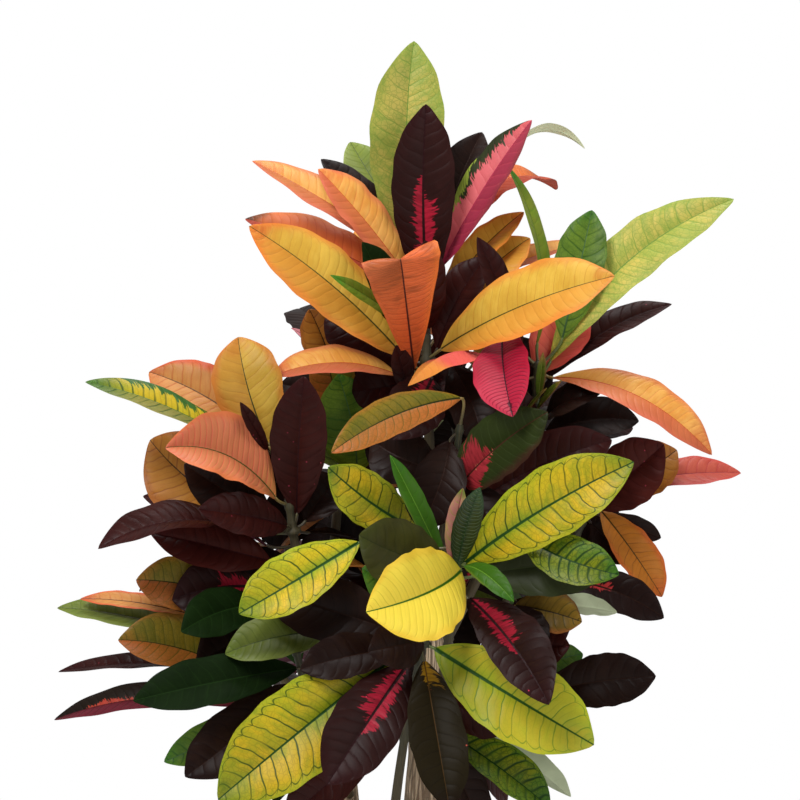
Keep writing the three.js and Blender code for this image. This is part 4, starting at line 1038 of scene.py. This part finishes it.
        vein_share=0.5, gloss=0.08, relief=0.7, tints=(("edge", 0x4c1a20, 0.3, 0.2, 0.9, 0.6, 1),),
        patches=(("rib", 0xa83038, 0.8, -0.1, 0.34, 0.5, 0), ("rib", 0xc07c5c, 0.5, 0.26, 0.5, 0.12, 0)),
    ),
    "maroon": dict(
        colours=(0x2c0e0b, 0x340f0b, 0x2e0f0f, 0x28090b, 0x220808, 0x4c2430), rib_mm=1.6, gap=11.0,
        vein_share=0.4, mottle=0x381410, flecks=0x8c2e40, rough=0.38, gloss=0.09, relief=1.3,
    ),
    "black": dict(
        colours=(0x1b0d09, 0x210f0a, 0x180b09, 0x26140d, 0x100605, 0x2e1a1a), rib_mm=1.4, vein_share=0.4,
        mottle=0x25150e, gloss=0.08, relief=1.1,
    ),
    "maroon_red": dict(
        colours=(0x210c0a, 0x290d0c, 0x280e0f, 0x22090b, 0x1c0707, 0x542636), rib_mm=3.4, gap=11.0,
        vein_share=0.4, mottle=0x2a1210, flecks=0xb83048, gloss=0.09, relief=1.3,
        patches=(("rib", 0x94182c, 0.55, -0.1, 0.42, 0.4, -1), ("rib", 0x94182c, 0.5, -0.1, 0.55, 0.36, 1)),
    ),
    "dark_gold": dict(
        colours=(0x1f190c, 0x221a0a, 0x1c140c, 0x463014, 0x120d06, 0x443828), rib_mm=1.1, vein_share=0.4,
        flecks=0xb04c3c, gloss=0.04, relief=0.8, patches=(("rib", 0x846012, 1.2, -0.1, 0.12, 0.34, 0),),
    ),
    "dark_spotted": dict(
        colours=(0x1e0e0b, 0x240f0e, 0x1c0e0e, 0x28140d, 0x140807, 0x3c2428), gloss=0.08,
        patches=(("rib", 0xb03434, 0.5, 0.16, 0.42, 0.3, 0),),
    ),
    "pale_under": dict(
        colours=(0xb8c0a4, 0xbcc4a8, 0x9c9478, 0x4c5840, 0x8c9078, 0xc0caa8), rib_mm=1.2, relief=0.1,
        under_vein=0xb4be9c, net_share=0.0,
    ),
}

# How bright a leaf is painted: its darkest, and what its tone (painted light and shade where a row gives it),
# soft clouds and broad clouds add
SHADE = (0.86, 0.2, 0.3, 0.4)
UNDER_VEINS = 0.35  # how much veins show from below
STREAK_MM = 9.5
DASH_MM = 3.2
CLOUDS = 26.0  # per metre, as are all noise scales
BROAD_CLOUDS = 11.0
NET_CELLS = 210.0
FLECK_CELLS = 120.0
GRAIN = 900.0


def leaf_material(kind, colours, low=None, low_share=0.8, rib_mm=2.2, gap=12.0, vein_mm=0.9, vein_share=0.6,
                  net_share=0.1, loop_share=0.5, mottle=None, mottle_share=0.5, mottle_level=0.5, tints=(),
                  patches=(), flecks=None, rough=0.42, gloss=0.15, relief=1.0, under_vein=None,
                  under_tip=None):
    body, base, tip, rib_colour, vein, under = colours
    paint = Paint("leaf_" + kind)
    paint.shader.inputs["Specular IOR Level"].default_value = gloss
    _, u, v, face = paint.read("blade")
    spot, x, y, _ = paint.read("flat")
    _, seed, low_half, tone = paint.read("leaf")
    reach = abs(v)
    aside = abs(y)
    lower = v * low_half
    wobble = paint.noise(spot, 38.0) - 0.5

    # Side veins lean to the tip, curl together near the margin and meet there in loops
    run = x - aside * VEIN_SLANT - reach ** 5.0 * (VEIN_CURL * MM)
    order = run / (gap * MM) + paint.math("SIGN", v) * 0.25 + wobble * 0.8
    phase = paint.math("FRACT", order + 20.0)
    centred = abs(phase - 0.5)
    fade = paint.noise(spot, 30.0, 1.0).step(0.3, 0.6, 0.55, 1.0)
    inside = reach.step(VEIN_LOOP[0] + 0.04, VEIN_LOOP[0] + 0.16, 1.0, 0.0)
    line = ((0.5 - centred) * gap / (1.2 - reach * 0.6)).step(vein_mm * 0.2, vein_mm, 1.0, 0.0)
    line = line * (inside * fade)
    arc = paint.math("SINE", phase * math.pi) * VEIN_LOOP[1] + VEIN_LOOP[0]
    loop = abs(reach - arc).step(0.004, 0.026, loop_share, 0.0)
    between = (centred * gap).step(0.15, 0.7, 0.3, 0.0) * reach.step(0.35, 0.75, 1.0, 0.0)
    net = paint.cells(spot, NET_CELLS, "DISTANCE_TO_EDGE").step(0.02, 0.1, net_share, 0.0)
    veins = paint.math("MAXIMUM", paint.math("MAXIMUM", line, loop), paint.math("MAXIMUM", between, net))
    rib = (aside / ((1.0 - u * 0.7) * (rib_mm / 2 * MM))).step(0.7, 1.25, 1.0, 0.0)

    # Streaks and dashes run along the side veins
    streaks = paint.vector(order * (gap / STREAK_MM), y * 34.0, seed * 40.0)
    ragged = paint.noise(streaks, 1.6, 4.0, 0.62)
    dashes = paint.noise(paint.vector(order * (gap / DASH_MM), y * 60.0, seed * 40.0), 1.6, 3.0)
    soft = paint.noise(spot, CLOUDS, 3.0, 0.55)
    broad = paint.noise(spot, BROAD_CLOUDS, 1.0)

    def inward(where):
        return reach if where == "rib" else 1.0 - reach

    def share_of(half):
        return 1.0 if half == 0 else (lower * half).step(-0.03, 0.05)

    colour = paint.mix(u.step(0.02, 0.3), base, body)
    colour = paint.mix((u + wobble * 0.3).step(0.76, 1.0), colour, tip)
    if mottle is not None:
        share = (soft * 0.6 + ragged * 0.4).step(mottle_level - 0.07, mottle_level + 0.09, 0.0, mottle_share)
        colour = paint.mix(share, colour, mottle)
    # Painted shade: the half of the blade that faces the ground takes the low colour
    if low is not None:
        share = lower.step(-0.04, 0.06) * broad.step(0.3, 0.6, 0.7, 1.0)
        colour = paint.mix(share * low_share, colour, low)
    for where, tint, spread, start, end, strength, half in tints:
        share = (inward(where) + (soft - 0.5) * 0.5).step(0.0, spread, strength, 0.0)
        share = share * u.step(start - 0.15, start + 0.15) * u.step(end - 0.2, end + 0.1, 1.0, 0.0)
        colour = paint.mix(share * share_of(half), colour, tint)
    colour = paint.mix(veins * vein_share, colour, vein)
    for where, patch, spread, start, end, level, half in patches:
        field = ragged * 0.55 + dashes * 0.45 + (1.0 - inward(where) / spread) * 0.34
        field = field - paint.math("MAXIMUM", (u - end + lower * 0.12) * 2.6, 0.0)
        field = field - paint.math("MAXIMUM", (start - u) * 2.6, 0.0)
        share = field.step(0.97 - level, 1.03 - level) * share_of(half)
        colour = paint.mix(share, colour, paint.shaded(patch, dashes.step(0.35, 0.6, 0.65, 1.0)))
    if flecks is not None:
        dots = paint.cells(spot, FLECK_CELLS).step(0.05, 0.12, 1.0, 0.0) * soft.step(0.56, 0.6)
        colour = paint.mix(dots, colour, flecks)
    colour = paint.mix(rib, colour, rib_colour)

    if under_tip is not None:
        under = paint.mix(u.step(0.66, 0.8), under, under_tip)
    under = paint.mix(veins * UNDER_VEINS, under, vein if under_vein is None else under_vein)
    # The leaf's brightness: random tone and clouds, and the light and shade painted through a row's tone
    shade = tone * SHADE[1] + SHADE[0] + (soft - 0.5) * SHADE[2] + (broad - 0.5) * SHADE[3]
    colour = paint.shaded(paint.mix(face, colour, under), shade)

    # The blade puffs up between side veins, and is a little rougher below
    puff = (centred * 2.0) ** 3.0 * -0.55 * inside
    height = puff + paint.noise(streaks, 0.9, 1.0) * 0.9 + (paint.noise(spot, GRAIN) * 0.05 + net * -0.2)
    return paint.finish(colour, (soft - 0.5) * 0.16 + rough + face * 0.12, height, LEAF_RELIEF * relief)


def stem_material():
    """Young stems: woody brown below, green above, with pale lengthwise streaks."""
    paint = Paint("young_stem")
    _, share, turn, _ = paint.read("blade")
    _, run, _, _ = paint.read("flat")
    grain = paint.noise(paint.vector(run * 14.0, turn * 9.0, 0.0), 2.2, 4.0, 0.6)
    colour = paint.mix(share.step(0.35, 0.95), 0x4c4028, 0x262a12)
    colour = paint.mix(grain.step(0.46, 0.7, 0.0, 0.4), colour, 0x6a5a3a)
    colour = paint.mix(grain.step(0.28, 0.42, 0.5, 0.0), colour, 0x382c1c)
    return paint.finish(colour, grain * 0.2 + 0.5, grain, 0.0006)


def petiole_material(name, first, last):
    paint = Paint(name)
    _, share, turn, _ = paint.read("blade")
    _, run, _, _ = paint.read("flat")
    _, seed, _, _ = paint.read("leaf")
    grain = paint.noise(paint.vector(run * 30.0, turn * 6.0, seed * 30.0), 2.0, 3.0)
    colour = paint.mix(share.step(0.2, 0.9), first, last)
    colour = paint.mix(grain.step(0.45, 0.7, 0.0, 0.4), colour, 0xa4a468)
    return paint.finish(colour, 0.42, grain, 0.0003)


def bark_material():
    """Pale, dry bark, painted lighter to lift the trunks' shade: long plates with brown cracks between them.
    """
    paint = Paint("bark")
    _, _, turn, _ = paint.read("blade")
    _, run, _, _ = paint.read("flat")
    circle = turn * (2 * math.pi)
    ring = (paint.math("COSINE", circle), paint.math("SINE", circle))
    long_grain = paint.vector(ring[0] * 2.4, ring[1] * 2.4, run * 9.0)
    broad = paint.noise(long_grain, 1.6, 5.0, 0.62)
    fine = paint.noise(paint.vector(ring[0] * 9.0, ring[1] * 9.0, run * 40.0), 2.0, 5.0, 0.65)
    plates = paint.cells(long_grain, 2.2, "DISTANCE_TO_EDGE")
    crack = (plates + (fine - 0.5) * 0.2).step(0.02, 0.16, 1.0, 0.0)
    # The plates' colours are painted lighter than the bark's own, to lift the shade on the trunks
    colour = paint.mix(broad.step(0.35, 0.65), 0xb89c80, 0xdcc4a4)
    colour = paint.mix(fine.step(0.52, 0.74, 0.0, 0.7), colour, 0xf0dcc0)
    colour = paint.mix(crack * 0.6, colour, 0x5c4028)
    return paint.finish(colour, fine * 0.2 + 0.72, broad + fine * 0.5 - crack, 0.0022)


def soil_material():
    paint = Paint("soil")
    place = paint.place()
    clods = paint.noise(place, 60.0, 5.0, 0.65)
    grains = paint.noise(place, 420.0, 4.0, 0.7)
    fibres = paint.cells(place, 240.0)
    colour = paint.mix(clods.step(0.35, 0.65), 0x1c130d, 0x3f2c1f)
    colour = paint.mix(grains.step(0.55, 0.75, 0.0, 0.7), colour, 0x6a4c34)
    colour = paint.mix(fibres.step(0.08, 0.2, 0.4, 0.0), colour, 0x0e0a07)
    return paint.finish(colour, 0.95, clods * 0.6 + (grains + fibres), 0.0025)


def chip_material(name, dark, light):
    paint = Paint(name)
    grain = paint.noise(paint.place(), 500.0, 4.0, 0.6)
    return paint.finish(paint.mix(grain.step(0.35, 0.65), dark, light), 0.9, grain, 0.0008)


def pot_material():
    """Moulded black plastic: fine grain, faint rings from the mould, scuffs and a little dust low down."""
    paint = Paint("pot_plastic")
    place = paint.place()
    x, y, height = paint.parts(place)
    cloud = paint.noise(place, 14.0, 4.0, 0.6)
    scuffs = paint.noise(paint.vector(x * 30.0, y * 30.0, height * 260.0), 1.0, 5.0, 0.7)
    marks = scuffs.step(0.6, 0.72, 0.0, 0.5)
    dust = height.step(0.0, 0.07, 0.55, 0.06) * cloud.step(0.35, 0.7)
    colour = paint.mix(cloud.step(0.3, 0.7), 0x242526, 0x2e2f30)
    colour = paint.mix(marks, colour, 0x46474a)
    colour = paint.mix(dust, colour, 0x75695a)
    rings = paint.math("SINE", height * 2200.0) * 0.08
    grain = paint.noise(place, 1400.0) * 0.5
    return paint.finish(colour, marks * 0.3 + 0.44 + dust * 0.4, rings + grain, 0.0003)


LEAF_MATERIALS = {}
STEM = stem_material()
PETIOLES = {
    "warm": petiole_material("petiole_warm", 0x4c3c20, 0x7c6430),
    "green": petiole_material("petiole_green", 0x443c20, 0x506428),
    "dark": petiole_material("petiole_dark", 0x38281c, 0x30201a),
}
WARM_KINDS = ("golden", "orange", "orange_red", "ember", "peach", "coral_peach", "coral_orange", "coral",
              "crimson", "pink_mottled", "gold_brown", "golden_olive", "orange_brown", "brown_dark", "pink",
              "pink_green")
GREEN_KINDS = ("yellow", "yellow_green", "green_gold", "green_tipped", "lime_yellow", "lime",
               "green_veined", "bright_green", "light_green", "green_streaked", "young", "olive",
               "olive_dark", "pale_under", "green_painted_sheen")
BLADE_SEEDS = 7000  # the seed of the first shoot's blades

# Each piece has one map: its blades take the lower band, and its petioles and stem stand in a row above
MAP_BAND = 0.9
MAP_EDGE = 0.01
MAP_MARGIN = (0.03, 0.94)  # where a blade's face starts in its cell, and the share that it fills
MAP_SLIM = (0.94, 0.9, 4)  # share for the row of tubes, what each fills of its own, and the stem's shares


def material_of(kind):
    if kind not in LEAF_MATERIALS:
        LEAF_MATERIALS[kind] = leaf_material(kind, **LOOKS[kind])
    return LEAF_MATERIALS[kind]


def petiole_of(kind):
    if kind in WARM_KINDS:
        return PETIOLES["warm"]
    return PETIOLES["green" if kind in GREEN_KINDS else "dark"]


def map_cells(count):
    """Places for that many blade faces, each about three times as high as wide."""
    columns = math.ceil(math.sqrt(3.2 * count / MAP_BAND))
    rows = math.ceil(count / columns)
    wide, high = 1 / columns, MAP_BAND / rows
    start, filled = MAP_MARGIN
    return [((i % columns + start) * wide, (i // columns + start) * high, wide * filled, high * filled)
            for i in range(count)]


# Leafy shoots


def stem_rings(stem, steps, taper):
    """Shares of a stem's length, the points there and the radii."""
    shares = np.linspace(0, 1, steps + 1)
    points = np.array([stem_point(stem["route"], share) for share in shares])
    first, last = stem["radii"]
    return shares, points, first + (last - first) * shares ** taper


def slim_cell(index, leaf_count, filled):
    slim = MAP_SLIM[0] / (leaf_count + 5)
    return (MAP_EDGE + index * slim * (1 + MAP_EDGE), MAP_BAND + MAP_EDGE, slim * filled,
            1 - 2 * MAP_EDGE - MAP_BAND)


def shoot_piece(name, shoot_index):
    """A shoot's leaves with their petioles, and its stem, which swells where each petiole starts."""
    leaves = leaves_of(name, shoot_index)
    piece = Piece()
    cells = map_cells(2 * len(leaves))
    random = make_random(BLADE_SEEDS + shoot_index)
    shares, points, radii = stem_rings(SHOOTS[name], STEM_STEPS, 1)
    tries = np.linspace(0, 1, 101)
    near = np.array([stem_point(SHOOTS[name]["route"], share) for share in tries])
    size, spread = NODE_SWELLING
    for index, leaf in enumerate(leaves):
        kind = leaf["kind"]
        add_blade(piece, leaf, material_of(kind), cells[2 * index:2 * index + 2], random)
        add_petiole(piece, leaf, petiole_of(kind), slim_cell(index, len(leaves), MAP_SLIM[1]), random())
        at = np.argmin(np.linalg.norm(near - leaf["root"], axis=1)) / 100
        radii = radii + size * np.exp(-((shares - at) / spread) ** 2)
    add_tube(piece, points, radii, STEM_SIDES, STEM, slim_cell(len(leaves), len(leaves), MAP_SLIM[2]))
    foliage = piece.build(name.replace("shoot", "foliage"))
    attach(foliage, "root")
    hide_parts(name)
    return foliage


for number, shoot_name in enumerate(SHOOTS):
    shoot_piece(shoot_name, number)


# Woody trunks: furrowed, with knots

TRUNK_SEEDS = 8100
FURROWS = 9
KNOTS = 16
KNOT_SPREAD = (0.012, 0.5)  # share of the length, and radians round the trunk
KNOT_HEIGHT = 0.5
BARK_DEPTH = 0.055  # share of the radius


def trunk_piece(name, seed):
    random = make_random(seed)
    shares, points, radii = stem_rings(TRUNKS[name], TRUNK_STEPS, TRUNK_TAPER)
    shares = shares[:, None]
    angles = np.arange(TRUNK_SIDES) * 2 * math.pi / TRUNK_SIDES
    relief = np.zeros((len(shares), TRUNK_SIDES))
    for _ in range(FURROWS):
        count = 3 + int(random() * 9)
        drift = 3 * (random() - 0.5)
        pulse = 4 + 9 * random()
        turn = random() * 2 * math.pi
        wave = np.cos(count * angles[None, :] + drift * shares * 6 + turn)
        relief += wave * (0.6 + 0.4 * np.sin(pulse * shares * 2 * math.pi + turn)) / (2 + count)
    for _ in range(KNOTS):
        at, around, size = random(), random() * 2 * math.pi, 0.5 + random()
        away = np.angle(np.exp(1j * (angles - around)))[None, :]
        knot = np.exp(-((shares - at) / KNOT_SPREAD[0]) ** 2 - (away / KNOT_SPREAD[1]) ** 2)
        relief += KNOT_HEIGHT * size * knot
    piece = Piece()
    radii = radii[:, None] * (1 + BARK_DEPTH * relief)
    add_tube(piece, points, radii, TRUNK_SIDES, BARK, (0.02, 0.02, 0.96, 0.96))
    wood = piece.build(name.replace("trunk", "wood"))
    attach(wood, "root")
    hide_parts(name)


BARK = bark_material()
for number, trunk_name in enumerate(TRUNKS):
    trunk_piece(trunk_name, TRUNK_SEEDS + number)


# Pot: a turned wall with a moulded rim, drained through six holes

POT_HOLLOW = 1.2  # the middle of the underside is higher than the foot ring by this
FOOT_RING = (14, 12)  # where the foot ring starts, in from the edge
FOOT_BAND = (29, 30.5, 0.6)  # heights of the step above the foot, and its depth
RIM_BEAD = (6, 5, 0.4)  # heights of the step below the top, down from it, and its depth
EDGE_ROUND = 1.6


def inner_radius(height):
    return POT_BASE_RADIUS - POT_WALL + (POT_TOP_RADIUS - POT_BASE_RADIUS) * height / POT_HEIGHT


def rounded(profile, radius, steps=4):
    """A profile whose inner corners are rounded off."""
    points = [np.array(profile[0], float)]
    for before, corner, after in zip(profile, profile[1:], profile[2:]):
        before, corner, after = (np.array(item, float) for item in (before, corner, after))
        reach = min(radius, np.linalg.norm(before - corner) * 0.45, np.linalg.norm(after - corner) * 0.45)
        start = corner + unit(before - corner) * reach
        end = corner + unit(after - corner) * reach
        for share in np.linspace(0, 1, steps + 1):
            points.append((1 - share) ** 2 * start + 2 * share * (1 - share) * corner + share ** 2 * end)
    points.append(np.array(profile[-1], float))
    return points


def plain_object(name, vertices, faces, material, smooth=True):
    """An object of vertices in millimetres."""
    mesh = bpy.data.meshes.new(name)
    mesh.from_pydata((np.array(vertices) * MM).tolist(), [], faces)
    mesh.polygons.foreach_set("use_smooth", np.full(len(faces), smooth))
    mesh.materials.append(material)
    return new_object(name, mesh)


def turned_mesh(name, profile, material):
    vertices = []
    faces = []
    rings = []
    for radius, height in profile:
        if radius < 1e-6:
            rings.append([len(vertices)])
            vertices.append((0, 0, height))
            continue
        rings.append(list(range(len(vertices), len(vertices) + TURNED_SIDES)))
        for side in range(TURNED_SIDES):
            angle = side * 2 * math.pi / TURNED_SIDES
            vertices.append((radius * math.cos(angle), radius * math.sin(angle), height))
    for low, high in zip(rings, rings[1:]):
        for side in range(TURNED_SIDES):
            after = (side + 1) % TURNED_SIDES
            if len(low) == 1:
                faces.append((low[0], high[after], high[side]))
            elif len(high) == 1:
                faces.append((low[side], low[after], high[0]))
            else:
                faces.append((low[side], low[after], high[after], high[side]))
    return plain_object(name, vertices, faces, material)


def apply_modifiers(piece):
    graph = bpy.context.evaluated_depsgraph_get()
    mesh = bpy.data.meshes.new_from_object(piece.evaluated_get(graph))
    piece.modifiers.clear()
    piece.data = mesh


def pot_piece():
    rim_foot = POT_HEIGHT - RIM_HEIGHT
    outer_at_rim = inner_radius(rim_foot) + POT_WALL
    rim_radius = POT_TOP_RADIUS + RIM_OVERHANG
    outer = inner_radius(30) + POT_WALL
    profile = rounded([
        (0, POT_HOLLOW), (POT_BASE_RADIUS - FOOT_RING[0], POT_HOLLOW), (POT_BASE_RADIUS - FOOT_RING[1], 0),
        (POT_BASE_RADIUS, 0), (outer - FOOT_BAND[2], FOOT_BAND[0]), (outer, FOOT_BAND[1]),
        (outer_at_rim, rim_foot), (rim_radius - 0.6, rim_foot + 0.6),
        (rim_radius - RIM_BEAD[2], POT_HEIGHT - RIM_BEAD[0]), (rim_radius, POT_HEIGHT - RIM_BEAD[1]),
        (rim_radius, POT_HEIGHT), (inner_radius(POT_HEIGHT), POT_HEIGHT),
        (inner_radius(POT_FLOOR), POT_FLOOR), (0, POT_FLOOR),
    ], EDGE_ROUND)
    pot = turned_mesh("nursery_pot", profile, pot_material())
    for hole in range(DRAIN_HOLES):
        angle = hole * 2 * math.pi / DRAIN_HOLES
        bpy.ops.mesh.primitive_cylinder_add(
            vertices=40, radius=DRAIN_RADIUS * MM, depth=20 * MM,
            location=(DRAIN_CIRCLE * MM * math.cos(angle), DRAIN_CIRCLE * MM * math.sin(angle), 0))
        cutter = bpy.context.object
        cut = pot.modifiers.new("hole", "BOOLEAN")
        cut.operation = "DIFFERENCE"
        cut.object = cutter
        apply_modifiers(pot)
        bpy.data.objects.remove(cutter)
    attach(pot, "root")
    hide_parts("pot")


pot_piece()


# Soil: clods, bark chips and white perlite on a low mound

SOIL_RINGS = 90
SOIL_SPOKES = 300
CLOD_SEED = 9200
CLODS = ((40, 1.2), (22, 0.9), (12, 0.7), (7, 0.5), (4.5, 0.35))  # across and high
SOIL_SINK = 1.2
CHIPS = (420, (1.5, 5.5), 0.45, 9300)  # how many, smallest and largest, flatness and seed
PERLITE = (130, (0.9, 2.6), 0.8, 9400)


def soil_height(radius, angle):
    """The soil's surface in mm; hills and clods come from a few fixed waves."""
    share = radius / inner_radius(SOIL_TOP)
    mound = SOIL_TOP + SOIL_MOUND * (1 - share ** 2)
    x, y = radius * np.cos(angle), radius * np.sin(angle)
    clods = np.zeros_like(x)
    random = make_random(CLOD_SEED)
    for size, height in CLODS:
        for _ in range(4):
            turn = random() * 2 * math.pi
            along = x * math.cos(turn) + y * math.sin(turn)
            clods += height * np.sin(2 * math.pi * along / size + random() * 7) / 2
    return mound + clods * np.clip((1 - share) * 8, 0.15, 1) - SOIL_SINK


def soil_piece():
    radius_top = inner_radius(SOIL_TOP) - FIT
    radii = radius_top * np.linspace(0.02, 1, SOIL_RINGS) ** 0.8
    angles = np.arange(SOIL_SPOKES) * 2 * math.pi / SOIL_SPOKES
    ring, spoke = np.meshgrid(radii, angles, indexing="ij")
    top = np.stack((ring * np.cos(spoke), ring * np.sin(spoke), soil_height(ring, spoke)), axis=2)
    foot_radius = inner_radius(POT_FLOOR + FIT) - FIT
    foot = np.stack((foot_radius * np.cos(angles), foot_radius * np.sin(angles),
                     np.full(SOIL_SPOKES, POT_FLOOR + FIT)), axis=1)
    vertices = np.concatenate((top.reshape(-1, 3), foot, [[0, 0, float(top[0, :, 2].mean())]]))
    faces = []
    for row in range(SOIL_RINGS):
        for side in range(SOIL_SPOKES):
            after = (side + 1) % SOIL_SPOKES
            low, high = row * SOIL_SPOKES, (row + 1) * SOIL_SPOKES
            faces.append((low + side, high + side, high + after, low + after))
    centre = len(vertices) - 1
    faces += [(centre, side, (side + 1) % SOIL_SPOKES) for side in range(SOIL_SPOKES)]
    faces.append(tuple(range(SOIL_RINGS * SOIL_SPOKES, (SOIL_RINGS + 1) * SOIL_SPOKES))[::-1])
    soil = plain_object("potting_soil", vertices, faces, soil_material())
    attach(soil, "root")
    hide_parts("soil")


def scatter(name, lumps, material):
    """Small broken lumps that lie on the soil."""
    count, sizes, flatness, seed = lumps
    random = make_random(seed)
    bpy.ops.mesh.primitive_ico_sphere_add(subdivisions=1, radius=1)
    pattern = bpy.context.object
    lump = np.array([vertex.co for vertex in pattern.data.vertices])
    lump_faces = np.array([face.vertices for face in pattern.data.polygons])
    bpy.data.objects.remove(pattern)
    vertices = []
    faces = []
    for index in range(count):
        radius = (inner_radius(SOIL_TOP) - 7) * math.sqrt(random())
        angle = random() * 2 * math.pi
        size = sizes[0] + (sizes[1] - sizes[0]) * random() ** 2
        scale = size * np.array((0.6 + random(), 0.5 + 0.7 * random(), flatness * (0.6 + 0.6 * random())))
        jitter = np.array([[0.75 + 0.5 * random() for _ in range(3)] for _ in lump])
        turn = random() * 2 * math.pi
        shape = lump * jitter * scale
        turned = np.stack((shape[:, 0] * math.cos(turn) - shape[:, 1] * math.sin(turn),
                           shape[:, 0] * math.sin(turn) + shape[:, 1] * math.cos(turn), shape[:, 2]), axis=1)
        height = float(soil_height(np.array(radius), np.array(angle)))
        place = (radius * math.cos(angle), radius * math.sin(angle), height + scale[2] * 0.35)
        vertices.append(turned + place)
        faces.append(lump_faces + index * len(lump))
    piece = plain_object(name, np.concatenate(vertices), np.concatenate(faces).tolist(), material, False)
    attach(piece, "root")


soil_piece()
scatter("bark_chips", CHIPS, chip_material("bark_chip", 0x2a1a10, 0x5c4028))
scatter("perlite", PERLITE, chip_material("perlite", 0xbab4a8, 0xe6e2da))


# Studio: pale floor, soft lights, a white surround, and the photograph's camera

FLOOR_RADIUS = 2.6
WORLD_LIGHT = 0.4
LIGHT_TARGET = (0, 0, 0.7)
LIGHTS = (("key", (-1.4, -2.3, 3.2), 1.5, 108), ("fill", (2.4, -2.4, 1.4), 2.0, 24),
          ("top", (0.2, 0.2, 3.2), 1.6, 52))


def studio_floor():
    bpy.ops.mesh.primitive_circle_add(vertices=128, radius=FLOOR_RADIUS, fill_type="NGON")
    floor = bpy.context.object
    floor.name = "studio_floor"
    floor.data.materials.append(Paint("studio_floor").finish(0xe8e6e3, 0.7))


def soft_light(name, place, size, power):
    light = bpy.data.lights.new(name, "AREA")
    light.shape = "DISK"
    light.size = size
    light.energy = power
    lamp = new_object(name, light)
    lamp.location = place
    lamp.rotation_euler = (Vector(LIGHT_TARGET) - Vector(place)).to_track_quat("-Z", "Y").to_euler()


def white_surround():
    world = bpy.data.worlds.new("surround")
    bpy.context.scene.world = world
    world.use_nodes = True
    tree = world.node_tree
    background = tree.nodes["Background"]
    background.inputs["Color"].default_value = (1, 1, 1, 1)
    path = tree.nodes.new("ShaderNodeLightPath")
    strength = tree.nodes.new("ShaderNodeMapRange")
    tree.links.new(path.outputs["Is Camera Ray"], strength.inputs["Value"])
    strength.inputs["To Min"].default_value = WORLD_LIGHT
    strength.inputs["To Max"].default_value = 1.0
    tree.links.new(strength.outputs[0], background.inputs["Strength"])


def photo_camera():
    camera = bpy.data.cameras.new("camera")
    camera.lens = LENS_MM
    camera.sensor_width = SENSOR_MM
    camera.clip_end = 60
    eye = new_object("camera", camera)
    eye.location = (0, -VIEW_DISTANCE * MM, VIEW_HEIGHT * MM)
    eye.rotation_euler = (math.pi / 2, 0, 0)
    bpy.context.scene.camera = eye


studio_floor()
for light_row in LIGHTS:
    soft_light(*light_row)
white_surround()
photo_camera()
bpy.context.scene.view_settings.view_transform = "Standard"
bpy.context.scene.view_settings.look = "None"
